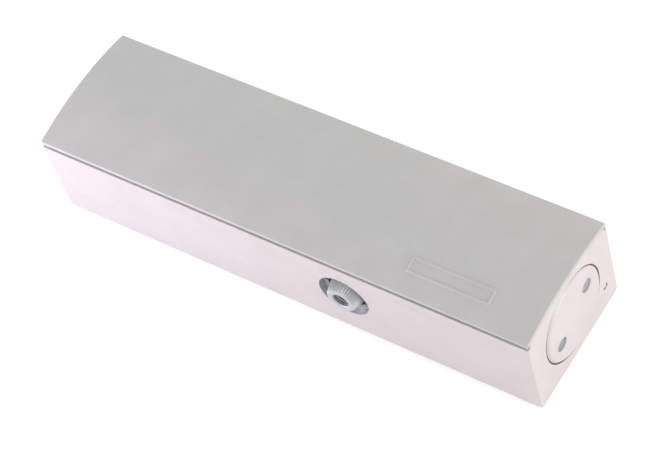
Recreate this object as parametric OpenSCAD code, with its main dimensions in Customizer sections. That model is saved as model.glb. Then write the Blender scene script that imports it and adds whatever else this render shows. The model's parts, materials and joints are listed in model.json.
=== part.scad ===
// Door closer body with a rack and pinion drive, a closing spring and a damping chamber.
// +X runs to the damping end, Y along the spindle and +Z out of the mounting face.
// The origin is the middle of the mounting face.

/* [Body] */
// Length of the body
body_length = 228; // [212:1:275]
// Metal between the piston bore and each of the two faces that the spindle ends stand out of
side_wall = 11.5; // [11:0.1:14]
// Metal between the piston bore and the mounting face
back_wall = 5.6; // [4.6:0.1:8]
// Depth from the piston bore to the level of the front's long edges
front_wall = 2.7; // [2.2:0.1:5]
// How far the middle of the front bulges past its long edges
crown_rise = 3.4; // [2.8:0.1:5]
// Radius along the long edges of the mounting face
back_edge_radius = 1.2; // [0.4:0.1:3]

/* [Front cover] */
// Sheet thickness of the cover
cover_thickness = 1.5; // [1:0.1:2.2]
// Height of the shadow groove between cover and housing
groove_height = 1.9; // [1:0.1:3]
// Depth of the shadow groove
groove_depth = 1.8; // [1.75:0.05:3]
// Gap between the cover and the metal below it
cover_gap = 0.1; // [0.05:0.05:0.5]
// Length of the raised frame on the cover
badge_length = 36.4; // [20:0.1:50]
// Height of the raised frame on the cover
badge_height = 6.6; // [4:0.1:12]
// Line width of the raised frame
badge_line = 0.8; // [0.5:0.1:1.5]
// How far the frame stands proud of the cover
badge_rise = 0.35; // [0.2:0.05:0.8]
// Distance from the damping end to the middle of the raised frame
badge_end_distance = 39.4; // [25:0.1:60]
// Distance from the middle of the cover down to the middle of the raised frame
badge_drop = 17.9; // [0:0.1:20]
// Radius of the studs that hold the cover
stud_radius = 2; // [1.5:0.1:2.4]
// Length of a stud below the cover
stud_length = 5.5; // [4:0.1:7]
// Wall of the rubber grommet round a stud
grommet_wall = 2; // [1.2:0.1:2.4]
// Distance from the spindle to the studs on the damping side
stud_offset_damping = 38; // [36:0.5:46]
// Distance from the spindle to the studs on the spring side
stud_offset_spring = 89; // [60:0.5:95]

/* [Piston and bore] */
// Diameter of the piston bore
bore_diameter = 37; // [36.5:0.5:45]
// Length of the piston
piston_length = 95; // [94:0.5:100]
// Distance from the damping end plug to the piston at rest
rest_gap = 5.5; // [2:0.1:8]
// Radial play of the spring on the bosses that centre it on the piston and on the plate
spring_boss_play = 1; // [0.3:0.1:3]
// Length of each spring boss
spring_boss_length = 4; // [2:0.1:6]
// Radius of the oil passage through the spring end head
head_passage_radius = 3; // [2:0.1:5]
// Width of the oil groove along the damping head
bypass_width = 3; // [2.6:0.1:5]
// Depth of the oil groove along the damping head
bypass_depth = 1.5; // [1:0.1:3]
// Length of the sealing land beyond the oil groove
land_length = 11; // [8:0.5:14]

/* [Rack and pinion] */
// Distance from the damping end to the spindle axis
spindle_end_distance = 85.4; // [84:0.1:90]
// How far the spindle axis lies behind the bore axis
spindle_offset = 1.2; // [0:0.1:2]
// Tooth module
tooth_module = 1.5; // [1.4:0.05:1.8]
// Number of pinion teeth
pinion_teeth = 12; // [12:1:12]
// Pressure angle of the teeth
pressure_angle = 25; // [24:0.5:27]
// Play between the flanks, measured along the pitch line
backlash = 0.2; // [0.1:0.02:0.3]
// Angle that the spindle turns through from closed to fully open
opening_angle = 180; // [90:5:180]
// Radius of the spindle in its bearings
journal_radius = 8; // [7.6:0.1:9.6]
// How far the spindle ends stand out of the body
spindle_proud = 2.4; // [1:0.1:6]
// Radius of the spindle at its end face
taper_end_radius = 6.3; // [5.6:0.1:7]
// Number of serrations round the spindle end
serration_count = 36; // [24:2:48]
// Depth of the serrations
serration_depth = 0.45; // [0.2:0.05:0.7]
// Core radius of the tapped hole in the spindle end
arm_screw_radius = 3.4; // [2.5:0.1:4]
// Depth of the tapped hole
arm_screw_depth = 16; // [10:0.5:20]
// Radial size of the countersink at the tapped hole
arm_screw_countersink = 0.5; // [0.2:0.1:1]

/* [Spindle bearings] */
// Radial room round the spindle for its bearings, seals and slotted rings
bearing_space = 3.2; // [3.1:0.05:4]
// Least play of the pinion's teeth as the spindle is put in through a bearing recess
pinion_entry_play = 0.6; // [0.3:0.1:1]
// Depth of the recess down to the bearing ring
recess_depth = 2.6; // [2:0.1:3.5]
// Thickness of the slotted bearing ring
ring_thickness = 2; // [1.5:0.1:2.5]
// Width of the two spanner slots in the ring
ring_slot_width = 2.4; // [1.5:0.1:3.5]
// Depth of the spanner slots
ring_slot_depth = 1.1; // [0.6:0.1:1.3]
// Direction of the slots, from the damping end towards the front
ring_slot_angle = 155; // [0:1:180]
// Thickness of the shaft seal
seal_thickness = 2.6; // [2:0.1:3]
// Length of the needle bearing
bearing_length = 5.6; // [5:0.1:6]
// Wall of the bearing cup
cup_wall = 0.9; // [0.7:0.1:1.1]
// Least gap between the needles
needle_gap = 0.4; // [0.1:0.05:0.8]

/* [End plugs] */
// Radial step from the piston bore to the end plugs
plug_step = 1.5; // [1:0.1:1.6]
// Depth of the plug pocket
plug_pocket_depth = 11.5; // [10:0.5:12]
// How far the plugs stand out of the end faces
plug_proud = 0.6; // [0.2:0.1:1.5]
// Chamfer round the outer face of a plug
plug_chamfer = 1.1; // [0.5:0.1:1.8]
// Distance between the two spanner holes
spanner_pitch = 24; // [20:0.5:28]
// Radius of the spanner holes
spanner_hole_radius = 3.1; // [2:0.1:3.4]
// Depth of the spanner holes
spanner_hole_depth = 5; // [3:0.1:6]
// Direction of the spanner holes, from the upper face towards the front
spanner_angle = 26.5; // [0:0.5:90]

/* [Closing spring] */
// Wire radius of the closing spring
spring_wire_radius = 2.75; // [2.3:0.05:3.3]
// Radial play of the closing spring in the bore
spring_play = 1.5; // [1:0.1:2.1]
// Number of turns that work
active_turns = 6; // [5:0.5:6]
// Turns closed up at each end
closed_turns = 1; // [1:0.25:1.25]
// Thickness of the spring plate
plate_thickness = 6; // [4:0.1:8]
// Distance from the spring end plug to the plate
plate_rest_gap = 4.5; // [4:0.1:6]
// Radius of the adjusting screw's thread
adjuster_thread_radius = 5; // [4:0.1:5.5]
// Radius of the adjusting screw where it passes through the plug
adjuster_neck_radius = 6; // [5.6:0.1:7]
// Radius of the adjusting screw's thrust collar
adjuster_collar_radius = 8; // [7.5:0.1:9]
// Thickness of the thrust collar
adjuster_collar_thickness = 2.4; // [1.6:0.1:3]
// Length of the adjusting screw's thread
adjuster_thread_length = 26; // [25.5:0.5:32]
// Width across the flats of the adjusting screw's socket
adjuster_socket = 6; // [4:1:7]
// Depth of the adjusting screw's socket
adjuster_socket_depth = 5; // [3:0.5:6]
// Radius of the clip pocket in the spring end plug
clip_pocket_radius = 8.3; // [8:0.1:8.6]
// Depth of the clip pocket
clip_pocket_depth = 2.6; // [2:0.1:3.5]

/* [Valves and oil ducts] */
// Distance from the damping end to the latching speed valve
latching_valve_distance = 15.5; // [15:0.1:18]
// Distance from the latching speed valve to the closing speed valve
valve_spacing = 8.5; // [7.5:0.1:10]
// Radius of the valve screws
valve_radius = 3; // [2.5:0.1:3]
// Distance from the bore wall to the valve axes and the oil duct
valve_wall_distance = 4.3; // [4.1:0.1:5]
// Depth of the oil duct's axis from the mounting face
duct_depth = 11.2; // [9:0.1:12]
// Radius of the oil duct
duct_radius = 1.55; // [1:0.05:1.6]
// Radius of the drilled ports
port_radius = 1; // [0.8:0.1:1.2]
// Distance from the sealing land to the return port when the piston is at the end of its travel
return_port_margin = 2.7; // [2:0.1:4]

/* [Mounting] */
// Radius of the mounting screw holes
mount_hole_radius = 2.6; // [2:0.1:2.8]
// Radius of the counterbore for the screw head
mount_head_radius = 3.6; // [3:0.1:3.7]
// Depth of the counterbore below the long edges of the front
mount_head_depth = 6; // [4:0.1:10]
// Distance from the spindle to the mounting holes on the damping side
mount_offset_damping = 18.4; // [17:0.1:20]
// Distance from the spring end to the mounting holes on the spring side
mount_end_distance = 17; // [15.5:0.1:22]

/* [Fits] */
// Radial play of a shaft or piston that moves in its bore
running_play = 0.03; // [0.02:0.01:0.06]
// Radial play of a piece that is screwed or pressed in
seat_play = 0.03; // [0.02:0.01:0.06]
// Gap that keeps pieces that pass each other apart
moving_gap = 0.4; // [0.3:0.05:0.6]

/* [Hidden] */
$fn = 96;
eps = 0.01;
// Gap between pieces that rest against each other
contact_gap = 0.05;

paint = [0.80, 0.79, 0.80];
steel = [0.62, 0.63, 0.64];
spring_steel = [0.30, 0.31, 0.33];
rubber = [0.10, 0.10, 0.11];
brass = [0.75, 0.62, 0.32];

// Bore, spindle and their places
half_length = body_length / 2;
bore_radius = bore_diameter / 2;
half_height = bore_radius + side_wall;
body_height = 2 * half_height;
bore_z = back_wall + bore_radius;
spindle_x = half_length - spindle_end_distance;
spindle_z = bore_z - spindle_offset;

// The crowned front: concentric arcs for the cover's two faces and the metal under it
edge_depth = back_wall + bore_diameter + front_wall;
front_radius = (half_height * half_height + crown_rise * crown_rise) / (2 * crown_rise);
front_centre_z = edge_depth + crown_rise - front_radius;
cover_inner_radius = front_radius - cover_thickness;
housing_front_radius = cover_inner_radius - cover_gap;
lip_bottom = edge_depth - cover_thickness;
groove_bottom = lip_bottom - groove_height;
neck_half = half_height - groove_depth;
badge_x = half_length - badge_end_distance;

// Pinion and rack
pitch_radius = tooth_module * pinion_teeth / 2;
tip_radius = pitch_radius + tooth_module;
root_radius = pitch_radius - 1.25 * tooth_module;
base_radius = pitch_radius * cos(pressure_angle);
tooth_pitch = PI * tooth_module;
half_tooth = tooth_pitch / 4 - backlash / 4;
half_tooth_angle = half_tooth / pitch_radius * 180 / PI;
flank_steps = 6;
travel = pitch_radius * opening_angle * PI / 180;
rack_pitch_z = spindle_z + pitch_radius;
rack_root_z = rack_pitch_z + 1.25 * tooth_module;
rack_tooth_count = ceil(travel / tooth_pitch) + 3;

// Pieces round the spindle, and their stack from the outer face inwards
recess_radius = max(journal_radius + bearing_space, tip_radius + pinion_entry_play);
ring_outer_y = half_height - recess_depth;
ring_inner_y = ring_outer_y - ring_thickness;
seal_inner_y = ring_inner_y - seal_thickness;
bearing_inner_y = seal_inner_y - bearing_length;
bearing_radius = recess_radius - seat_play;
shoulder_gap = 4.5;
serration_run_in = 0.6;
serration_step = 0.1;
tooth_half_width = bearing_inner_y - shoulder_gap;
rack_half_width = tooth_half_width - moving_gap;
spindle_tip_y = half_height + spindle_proud;
taper_base_y = ring_outer_y - serration_run_in;
serration_radius = journal_radius - serration_step;
shaft_hole_radius = journal_radius + running_play;
cup_inner_radius = bearing_radius - cup_wall;
needle_orbit = (shaft_hole_radius + cup_inner_radius) / 2;
needle_play = 0.02;
needle_radius = (cup_inner_radius - shaft_hole_radius) / 2 - needle_play;
needle_count = floor(2 * PI * needle_orbit / (2 * needle_radius + needle_gap));
cup_lip_thickness = 0.7;
cup_lip_clear = 0.6;
seal_lip_depth = 0.6 * seal_thickness;
seal_rim_wall = 0.8;
seal_lip_wall = 0.9;

// Plugs and their seals
plug_radius = bore_radius + plug_step;
pocket_radius = plug_radius + seat_play;
pocket_mouth = 0.4;
pocket_floor_x = half_length - plug_pocket_depth;
plug_seal_inset = 3.5;
plug_seal_x = pocket_floor_x + plug_seal_inset;
plug_seal_width = 2.6;
plug_seal_depth = 2.1;

// Piston
piston_radius = bore_radius - running_play;
piston_end_x = pocket_floor_x - rest_gap;
piston_start_x = piston_end_x - piston_length;
slot_end_wall = 1.3;
slot_clear = recess_radius + slot_end_wall;
slot_start_x = spindle_x - slot_clear;
slot_end_x = spindle_x + travel + slot_clear;
slot_bottom_z = spindle_z - recess_radius - moving_gap;
slot_top_z = spindle_z + recess_radius + moving_gap;

// Check valve in the middle of the damping head, with its seat halfway along it
check_hole_radius = 2.5;
check_pocket_radius = 6;
check_ball_radius = 4;
check_travel = 0.8;
check_stop_gap = 0.3;
check_seat_x = (slot_end_x + piston_end_x) / 2;
check_cone_end_x = check_seat_x + check_pocket_radius - check_hole_radius;
check_ball_x = check_seat_x - check_hole_radius + sqrt(2) * (check_ball_radius + contact_gap);
retainer_inset = 0.8;
retainer_x = check_ball_x + check_ball_radius + check_travel + check_stop_gap;
retainer_end_x = piston_end_x - retainer_inset;
retainer_hole_radius = 2;
retainer_slot_width = 1.6;
retainer_slot_depth = 0.8;

// Relief valve beside it, open to the spindle's slot
relief_y = -11;
relief_radius = 3;
relief_seat_radius = 1.2;
relief_seat_wall = 7;
relief_seat_x = piston_end_x - relief_seat_wall;
relief_ball_radius = 2.2;
relief_ball_x = relief_seat_x - sqrt(pow(relief_ball_radius, 2) - pow(relief_seat_radius, 2))
    - contact_gap;
relief_travel = 0.6;
relief_screw_inset = 0.8;
relief_screw_length = 6;
relief_screw_x = slot_end_x + relief_screw_inset;
relief_passage_radius = 1;
relief_slot_width = 0.9;
relief_slot_depth = 1.2;
relief_wire_radius = 0.4;
relief_mean_radius = 1.9;
relief_coils = 5;
relief_sides = 6;
relief_rings_per_turn = 14;

// Closing spring, plate and adjusting screw
plate_x = -pocket_floor_x + plate_rest_gap;
plate_front_x = plate_x + plate_thickness;
plate_radius = bore_radius - moving_gap;
spring_mean_radius = bore_radius - spring_play - spring_wire_radius;
spring_boss_radius = spring_mean_radius - spring_wire_radius - spring_boss_play;
spring_start_x = plate_front_x + spring_wire_radius + contact_gap;
spring_end_x = piston_start_x - spring_wire_radius - contact_gap;
closed_pitch = 2 * spring_wire_radius + 2 * contact_gap;
active_pitch = (spring_end_x - spring_start_x - 2 * closed_turns * closed_pitch) / active_turns;
spring_turns = active_turns + 2 * closed_turns;
spring_sides = 10;
spring_rings_per_turn = 20;
collar_x = -pocket_floor_x + 2 * contact_gap;
collar_end_x = collar_x + adjuster_collar_thickness;
adjuster_end_x = collar_end_x + adjuster_thread_length;
clip_floor_x = -half_length - plug_proud + clip_pocket_depth;
adjuster_stub_length = 2;
adjuster_face_x = clip_floor_x - adjuster_stub_length;
adjuster_seal_x = (collar_x + clip_floor_x) / 2;
adjuster_seal_width = 2.2;
adjuster_seal_depth = 1.3;
clip_thickness = 1;
clip_groove_depth = 0.8;

// Valves and ducts, all in the upper part of the housing
valve_y = bore_radius + valve_wall_distance;
latching_valve_x = half_length - latching_valve_distance;
closing_valve_x = latching_valve_x - valve_spacing;
valve_seat_wall = 1.2;
valve_bottom_z = duct_depth + duct_radius + valve_seat_wall;
valve_top_inset = 2;
valve_top_z = edge_depth - valve_top_inset;
valve_thread_length = 16;
valve_thread_z = valve_top_z - valve_thread_length;
valve_stem_radius = 1.8;
valve_tip_z = valve_bottom_z + 0.3;
valve_tip_length = 1.2;
valve_tip_radius = 0.5;
valve_slot_width = 0.9;
valve_slot_depth = 1.2;
valve_port_height = 4;
valve_port_z = valve_bottom_z + valve_port_height;
valve_seal_height = 3;
valve_seal_z = valve_thread_z + valve_seal_height;
valve_seal_width = 1.8;
valve_seal_depth = 1;
return_port_x = piston_end_x - land_length - travel - return_port_margin;
duct_run_out = 1.5;
duct_end_x = return_port_x - duct_run_out;
duct_ball_radius = duct_radius - 0.02;
duct_ball_inset = 0.07;
port_ball_radius = 1.3;
port_ball_pocket = 2.4;

// Studs, grommets and mounting holes stand in the middle of the side walls
wall_middle_y = (bore_radius + half_height) / 2;
stud_xs = [spindle_x - stud_offset_spring, spindle_x + stud_offset_damping];
grommet_radius = stud_radius + grommet_wall;
grommet_edge_wall = 1.2;
stud_y = neck_half - grommet_radius - grommet_edge_wall;
grommet_top_z = front_centre_z
    + sqrt(pow(housing_front_radius, 2) - pow(stud_y + grommet_radius, 2));
grommet_floor_gap = 0.8;
grommet_bottom_z = grommet_top_z - stud_length - grommet_floor_gap;
mount_xs = [-half_length + mount_end_distance, spindle_x + mount_offset_damping];

// Point on a circle, in degrees
function polar(r, a) = [r * cos(a), r * sin(a)];

// Involute function, in degrees
function involute(a) = tan(a) * 180 / PI - a;

// Half the angle that a pinion tooth covers at radius r
function tooth_half_angle_at(r) =
    half_tooth_angle + involute(pressure_angle) - involute(acos(min(1, base_radius / r)));

// Radii from the root of a tooth to its tip
function flank_radii() = concat(
    [root_radius],
    [for (i = [0:flank_steps]) base_radius + (tip_radius - base_radius) * i / flank_steps]
);

// How far the spring's wire has moved along its axis after t turns
function spring_rise(t) =
    t < closed_turns ? t * closed_pitch
    : t < closed_turns + active_turns
        ? closed_turns * closed_pitch + (t - closed_turns) * active_pitch
    : closed_turns * closed_pitch + active_turns * active_pitch
        + (t - closed_turns - active_turns) * closed_pitch;

// 2D outline in Y and Z, drawn out along X
module along_x(x0, x1) {
    translate([x0, 0, 0])
        rotate([90, 0, 90])
            linear_extrude(height = x1 - x0)
                children();
}

// Cylinder along X
module cylinder_x(x0, x1, r, r_end) {
    translate([x0, 0, 0])
        rotate([0, 90, 0])
            cylinder(h = x1 - x0, r1 = r, r2 = is_undef(r_end) ? r : r_end);
}

// Cylinder along Y
module cylinder_y(y0, y1, r, r_end) {
    translate([0, y0, 0])
        rotate([-90, 0, 0])
            cylinder(h = y1 - y0, r1 = r, r2 = is_undef(r_end) ? r : r_end);
}

// Ring of round section about the X axis
module o_ring_x(x, inner_r, outer_r) {
    section = (outer_r - inner_r) / 2;
    translate([x, 0, 0])
        rotate([0, 90, 0])
            rotate_extrude()
                translate([inner_r + section, 0])
                    circle(r = section, $fn = 32);
}

// Moves children onto the bore axis
module on_bore() {
    translate([0, 0, bore_z]) children();
}

// Moves children onto the spindle axis
module on_spindle() {
    translate([spindle_x, 0, spindle_z]) children();
}

// Children made for the upper face, turned over to the lower face
module lower_side() {
    mirror([0, 1, 0]) children();
}

// Both spindle ends
module both_sides() {
    children();
    lower_side() children();
}

// Round wire wound about the X axis, with its closed ends
module wire_helix(mean_r, wire_r, sides, rings_per_turn, rises) {
    rings = len(rises);
    points = [
        for (k = [0:rings - 1])
            for (s = [0:sides - 1])
                let (turn = 360 * k / rings_per_turn,
                    a = 360 * s / sides,
                    r = mean_r + wire_r * cos(a))
                [rises[k] + wire_r * sin(a), r * cos(turn), r * sin(turn)]
    ];
    walls = [
        for (k = [0:rings - 2])
            for (s = [0:sides - 1])
                let (n = (s + 1) % sides)
                [k * sides + s, k * sides + n, (k + 1) * sides + n, (k + 1) * sides + s]
    ];
    first_cap = [for (s = [sides - 1:-1:0]) s];
    last_cap = [for (s = [0:sides - 1]) (rings - 1) * sides + s];
    polyhedron(points = points, faces = concat(walls, [first_cap, last_cap]), convexity = 20);
}

// Outline of the housing in Y and Z: square back, narrow neck and crowned front
module housing_outline() {
    intersection() {
        union() {
            difference() {
                translate([-half_height, 0])
                    square([body_height, groove_bottom]);
                for (side = [-1, 1])
                    translate([side * half_height, 0])
                        difference() {
                            square(2 * back_edge_radius, center = true);
                            translate([-side * back_edge_radius, back_edge_radius])
                                circle(r = back_edge_radius);
                        }
            }
            translate([-neck_half, back_wall])
                square([2 * neck_half, edge_depth + crown_rise]);
        }
        translate([0, front_centre_z])
            circle(r = housing_front_radius, $fn = 360);
    }
}

// Oil duct, valve bores and drilled ports, as the space that they take out of the housing
module oil_ways() {
    translate([0, valve_y, duct_depth])
        cylinder_x(duct_end_x, half_length + 1, duct_radius);
    translate([return_port_x, 0, duct_depth])
        cylinder_y(bore_radius / 2, half_height + 1, port_radius);
    translate([return_port_x, 0, duct_depth])
        cylinder_y(half_height - port_ball_pocket, half_height + 1,
            port_ball_radius + seat_play);
    for (x = [closing_valve_x, latching_valve_x]) {
        translate([x, valve_y, duct_depth])
            cylinder(h = valve_bottom_z - duct_depth + 1, r = port_radius);
        translate([x, valve_y, valve_bottom_z])
            cylinder(h = edge_depth + crown_rise, r = valve_radius + running_play);
        translate([x, 0, valve_port_z])
            cylinder_y(bore_radius / 2, valve_y, port_radius);
    }
}

module housing() {
    color(paint)
        difference() {
            along_x(-half_length, half_length) housing_outline();
            on_bore() {
                cylinder_x(-half_length, half_length, bore_radius);
                for (side = [-1, 1])
                    mirror([side < 0 ? 1 : 0, 0, 0]) {
                        cylinder_x(pocket_floor_x, half_length + 1, pocket_radius);
                        cylinder_x(half_length - pocket_mouth, half_length + eps,
                            pocket_radius, pocket_radius + pocket_mouth);
                    }
            }
            on_spindle()
                cylinder_y(-half_height - 1, half_height + 1, recess_radius);
            oil_ways();
            for (x = stud_xs)
                for (y = [-stud_y, stud_y])
                    translate([x, y, grommet_bottom_z])
                        cylinder(h = edge_depth, r = grommet_radius + seat_play);
            for (x = mount_xs)
                for (y = [-wall_middle_y, wall_middle_y])
                    translate([x, y, 0]) {
                        translate([0, 0, -1])
                            cylinder(h = edge_depth + 10, r = mount_hole_radius);
                        translate([0, 0, lip_bottom - mount_head_depth])
                            cylinder(h = edge_depth, r = mount_head_radius);
                    }
        }
}

// Raised frame that follows the crown of the cover
module cover_badge() {
    intersection() {
        along_x(badge_x - badge_length, badge_x + badge_length)
            translate([0, front_centre_z])
                difference() {
                    circle(r = front_radius + badge_rise, $fn = 360);
                    circle(r = front_radius - cover_thickness / 2, $fn = 360);
                }
        translate([badge_x, -badge_drop, lip_bottom])
            linear_extrude(height = edge_depth)
                difference() {
                    square([badge_length, badge_height], center = true);
                    square([badge_length - 2 * badge_line, badge_height - 2 * badge_line],
                        center = true);
                }
    }
}

module front_cover() {
    color(paint)
        union() {
            along_x(-half_length, half_length)
                intersection() {
                    difference() {
                        translate([0, front_centre_z])
                            circle(r = front_radius, $fn = 360);
                        intersection() {
                            translate([0, front_centre_z])
                                circle(r = cover_inner_radius, $fn = 360);
                            square([body_height - 2 * cover_thickness, 4 * edge_depth],
                                center = true);
                        }
                    }
                    translate([-half_height, lip_bottom])
                        square([body_height, edge_depth]);
                }
            cover_badge();
        }
}

module cover_studs() {
    stud_top_z = front_centre_z + sqrt(pow(cover_inner_radius, 2) - pow(stud_y - stud_radius, 2));
    stud_chamfer = 0.5;
    stud_bottom_z = grommet_top_z - stud_length;
    color(steel)
        intersection() {
            for (x = stud_xs)
                for (y = [-stud_y, stud_y])
                    translate([x, y, stud_bottom_z]) {
                        cylinder(h = stud_chamfer, r1 = stud_radius - stud_chamfer, r2 = stud_radius);
                        translate([0, 0, stud_chamfer])
                            cylinder(h = stud_top_z - stud_bottom_z, r = stud_radius);
                    }
            along_x(-half_length, half_length)
                translate([0, front_centre_z])
                    circle(r = cover_inner_radius, $fn = 360);
        }
}

module stud_grommets() {
    color(rubber)
        for (x = stud_xs)
            for (y = [-stud_y, stud_y])
                translate([x, y, grommet_bottom_z])
                    difference() {
                        cylinder(h = grommet_top_z - grommet_bottom_z, r = grommet_radius);
                        translate([0, 0, -1])
                            cylinder(h = edge_depth, r = stud_radius + running_play);
                    }
}

// Plug at the damping end, with its face, chamfer, seal groove and spanner holes
module plug_blank() {
    plug_face_x = half_length + plug_proud;
    difference() {
        union() {
            cylinder_x(pocket_floor_x, plug_face_x - plug_chamfer, plug_radius);
            cylinder_x(plug_face_x - plug_chamfer, plug_face_x, plug_radius,
                plug_radius - plug_chamfer);
        }
        difference() {
            cylinder_x(plug_seal_x - plug_seal_width / 2, plug_seal_x + plug_seal_width / 2,
                plug_radius + 1);
            cylinder_x(plug_seal_x - plug_seal_width, plug_seal_x + plug_seal_width,
                plug_radius - plug_seal_depth);
        }
        rotate([spanner_angle, 0, 0])
            for (y = [-spanner_pitch / 2, spanner_pitch / 2])
                translate([0, y, 0])
                    cylinder_x(plug_face_x - spanner_hole_depth, plug_face_x + 1,
                        spanner_hole_radius);
    }
}

module damping_end_plug() {
    color(paint)
        on_bore() plug_blank();
}

module damping_plug_seal() {
    color(rubber)
        on_bore() o_ring_x(plug_seal_x, plug_radius - plug_seal_depth, pocket_radius);
}

module spring_end_plug() {
    color(paint)
        on_bore()
            difference() {
                mirror([1, 0, 0]) plug_blank();
                cylinder_x(-half_length - 1, 0, adjuster_neck_radius + running_play);
                cylinder_x(-half_length - plug_proud - 1, clip_floor_x, clip_pocket_radius);
            }
}

module spring_plug_seal() {
    color(rubber)
        on_bore() o_ring_x(-plug_seal_x, plug_radius - plug_seal_depth, pocket_radius);
}

// Screw that draws the spring plate along: neck in the plug, thrust collar and thread
module adjusting_screw() {
    color(steel)
        on_bore()
            difference() {
                union() {
                    cylinder_x(adjuster_face_x, collar_x + eps, adjuster_neck_radius);
                    cylinder_x(collar_x, collar_end_x, adjuster_collar_radius);
                    cylinder_x(collar_end_x - eps, adjuster_end_x, adjuster_thread_radius);
                }
                difference() {
                    cylinder_x(adjuster_seal_x - adjuster_seal_width / 2,
                        adjuster_seal_x + adjuster_seal_width / 2, adjuster_neck_radius + 1);
                    cylinder_x(adjuster_seal_x - adjuster_seal_width,
                        adjuster_seal_x + adjuster_seal_width,
                        adjuster_neck_radius - adjuster_seal_depth);
                }
                difference() {
                    cylinder_x(clip_floor_x - clip_thickness - 2 * contact_gap, clip_floor_x,
                        adjuster_neck_radius + 1);
                    cylinder_x(clip_floor_x - 2 * clip_thickness, clip_floor_x + 1,
                        adjuster_neck_radius - clip_groove_depth);
                }
                translate([adjuster_face_x - eps, 0, 0])
                    rotate([0, 90, 0])
                        cylinder(h = adjuster_socket_depth, r = adjuster_socket / 2 / cos(30), $fn = 6);
            }
}

module adjusting_screw_seal() {
    color(rubber)
        on_bore()
            o_ring_x(adjuster_seal_x, adjuster_neck_radius - adjuster_seal_depth,
                adjuster_neck_radius + running_play / 2);
}

// Split retaining clip in the pocket of the plug
module adjusting_screw_clip() {
    clip_outer = clip_pocket_radius - moving_gap;
    clip_slit = 3;
    color(spring_steel)
        on_bore()
            difference() {
                cylinder_x(clip_floor_x - clip_thickness - contact_gap,
                    clip_floor_x - contact_gap, clip_outer);
                cylinder_x(clip_floor_x - 2 * clip_thickness, clip_floor_x + 1,
                    adjuster_neck_radius - clip_groove_depth + eps);
                translate([clip_floor_x, 0, clip_outer / 2])
                    cube([4 * clip_thickness, clip_slit, clip_outer + clip_slit], center = true);
            }
}

module spring_plate() {
    color(steel)
        on_bore()
            difference() {
                union() {
                    cylinder_x(plate_x, plate_front_x, plate_radius);
                    cylinder_x(plate_front_x - eps, plate_front_x + spring_boss_length,
                        spring_boss_radius);
                }
                cylinder_x(plate_x - 1, plate_front_x + spring_boss_length + 1,
                    adjuster_thread_radius + running_play);
            }
}

module closing_spring() {
    rings = spring_rings_per_turn * spring_turns;
    rises = [for (k = [0:rings]) spring_rise(k / spring_rings_per_turn)];
    color(spring_steel)
        on_bore()
            translate([spring_start_x, 0, 0])
                wire_helix(spring_mean_radius, spring_wire_radius, spring_sides,
                    spring_rings_per_turn, rises);
}

// One tooth of the rack, pointing towards the mounting face
module rack_tooth() {
    root_half = half_tooth + 1.25 * tooth_module * tan(pressure_angle);
    tip_half = half_tooth - tooth_module * tan(pressure_angle);
    polygon([
        [-tip_half, -tooth_module],
        [tip_half, -tooth_module],
        [root_half, 1.25 * tooth_module],
        [root_half, 2 * tooth_module],
        [-root_half, 2 * tooth_module],
        [-root_half, 1.25 * tooth_module]
    ]);
}

module piston() {
    color(steel)
        difference() {
            intersection() {
                union() {
                    difference() {
                        on_bore() {
                            cylinder_x(piston_start_x, piston_end_x, piston_radius);
                            cylinder_x(piston_start_x - spring_boss_length,
                                piston_start_x + eps, spring_boss_radius);
                        }
                        // room for the spindle: deeper beside the rack than under it
                        translate([slot_start_x, -body_height, slot_bottom_z])
                            cube([slot_end_x - slot_start_x, 2 * body_height,
                                rack_root_z - slot_bottom_z]);
                        for (y = [-body_height, rack_half_width])
                            translate([slot_start_x, y, slot_bottom_z])
                                cube([slot_end_x - slot_start_x, body_height - rack_half_width
                                    + (y > 0 ? rack_half_width : 0), slot_top_z - slot_bottom_z]);
                    }
                    for (k = [-1:rack_tooth_count - 2])
                        translate([spindle_x + k * tooth_pitch, rack_half_width, rack_pitch_z])
                            rotate([90, 0, 0])
                                linear_extrude(height = 2 * rack_half_width)
                                    rack_tooth();
                }
                on_bore()
                    cylinder_x(piston_start_x - spring_boss_length, piston_end_x, piston_radius);
            }
            on_bore() {
                cylinder_x(piston_start_x - spring_boss_length - 1, slot_start_x + 1,
                    head_passage_radius);
                cylinder_x(slot_end_x - 1, check_seat_x + eps, check_hole_radius);
                cylinder_x(check_seat_x, check_cone_end_x, check_hole_radius, check_pocket_radius);
                cylinder_x(check_cone_end_x - eps, piston_end_x + 1,
                    check_pocket_radius + seat_play);
            }
            translate([0, relief_y, bore_z]) {
                cylinder_x(slot_end_x - 1, relief_seat_x, relief_radius + seat_play);
                cylinder_x(relief_seat_x - 1, piston_end_x + 1, relief_seat_radius);
            }
            // oil groove that keeps the return port open while the damping head passes it
            on_bore()
                rotate([asin((duct_depth - bore_z) / bore_radius), 0, 0])
                    translate([slot_end_x - 1, piston_radius - bypass_depth, -bypass_width / 2])
                        cube([piston_end_x - land_length - slot_end_x + 1, bore_radius,
                            bypass_width]);
        }
}

module check_ball() {
    color(steel)
        on_bore()
            translate([check_ball_x, 0, 0])
                sphere(r = check_ball_radius);
}

// Screwed ring with cross slots that holds the check ball near its seat
module check_valve_retainer() {
    color(brass)
        on_bore()
            difference() {
                cylinder_x(retainer_x, retainer_end_x, check_pocket_radius);
                cylinder_x(retainer_x - 1, retainer_end_x + 1, retainer_hole_radius);
                for (turn = [0, 90])
                    rotate([turn, 0, 0])
                        translate([retainer_x, 0, 0])
                            cube([2 * retainer_slot_depth, 1.5 * check_pocket_radius,
                                retainer_slot_width], center = true);
            }
}

module relief_ball() {
    color(steel)
        translate([relief_ball_x, relief_y, bore_z])
            sphere(r = relief_ball_radius);
}

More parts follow.
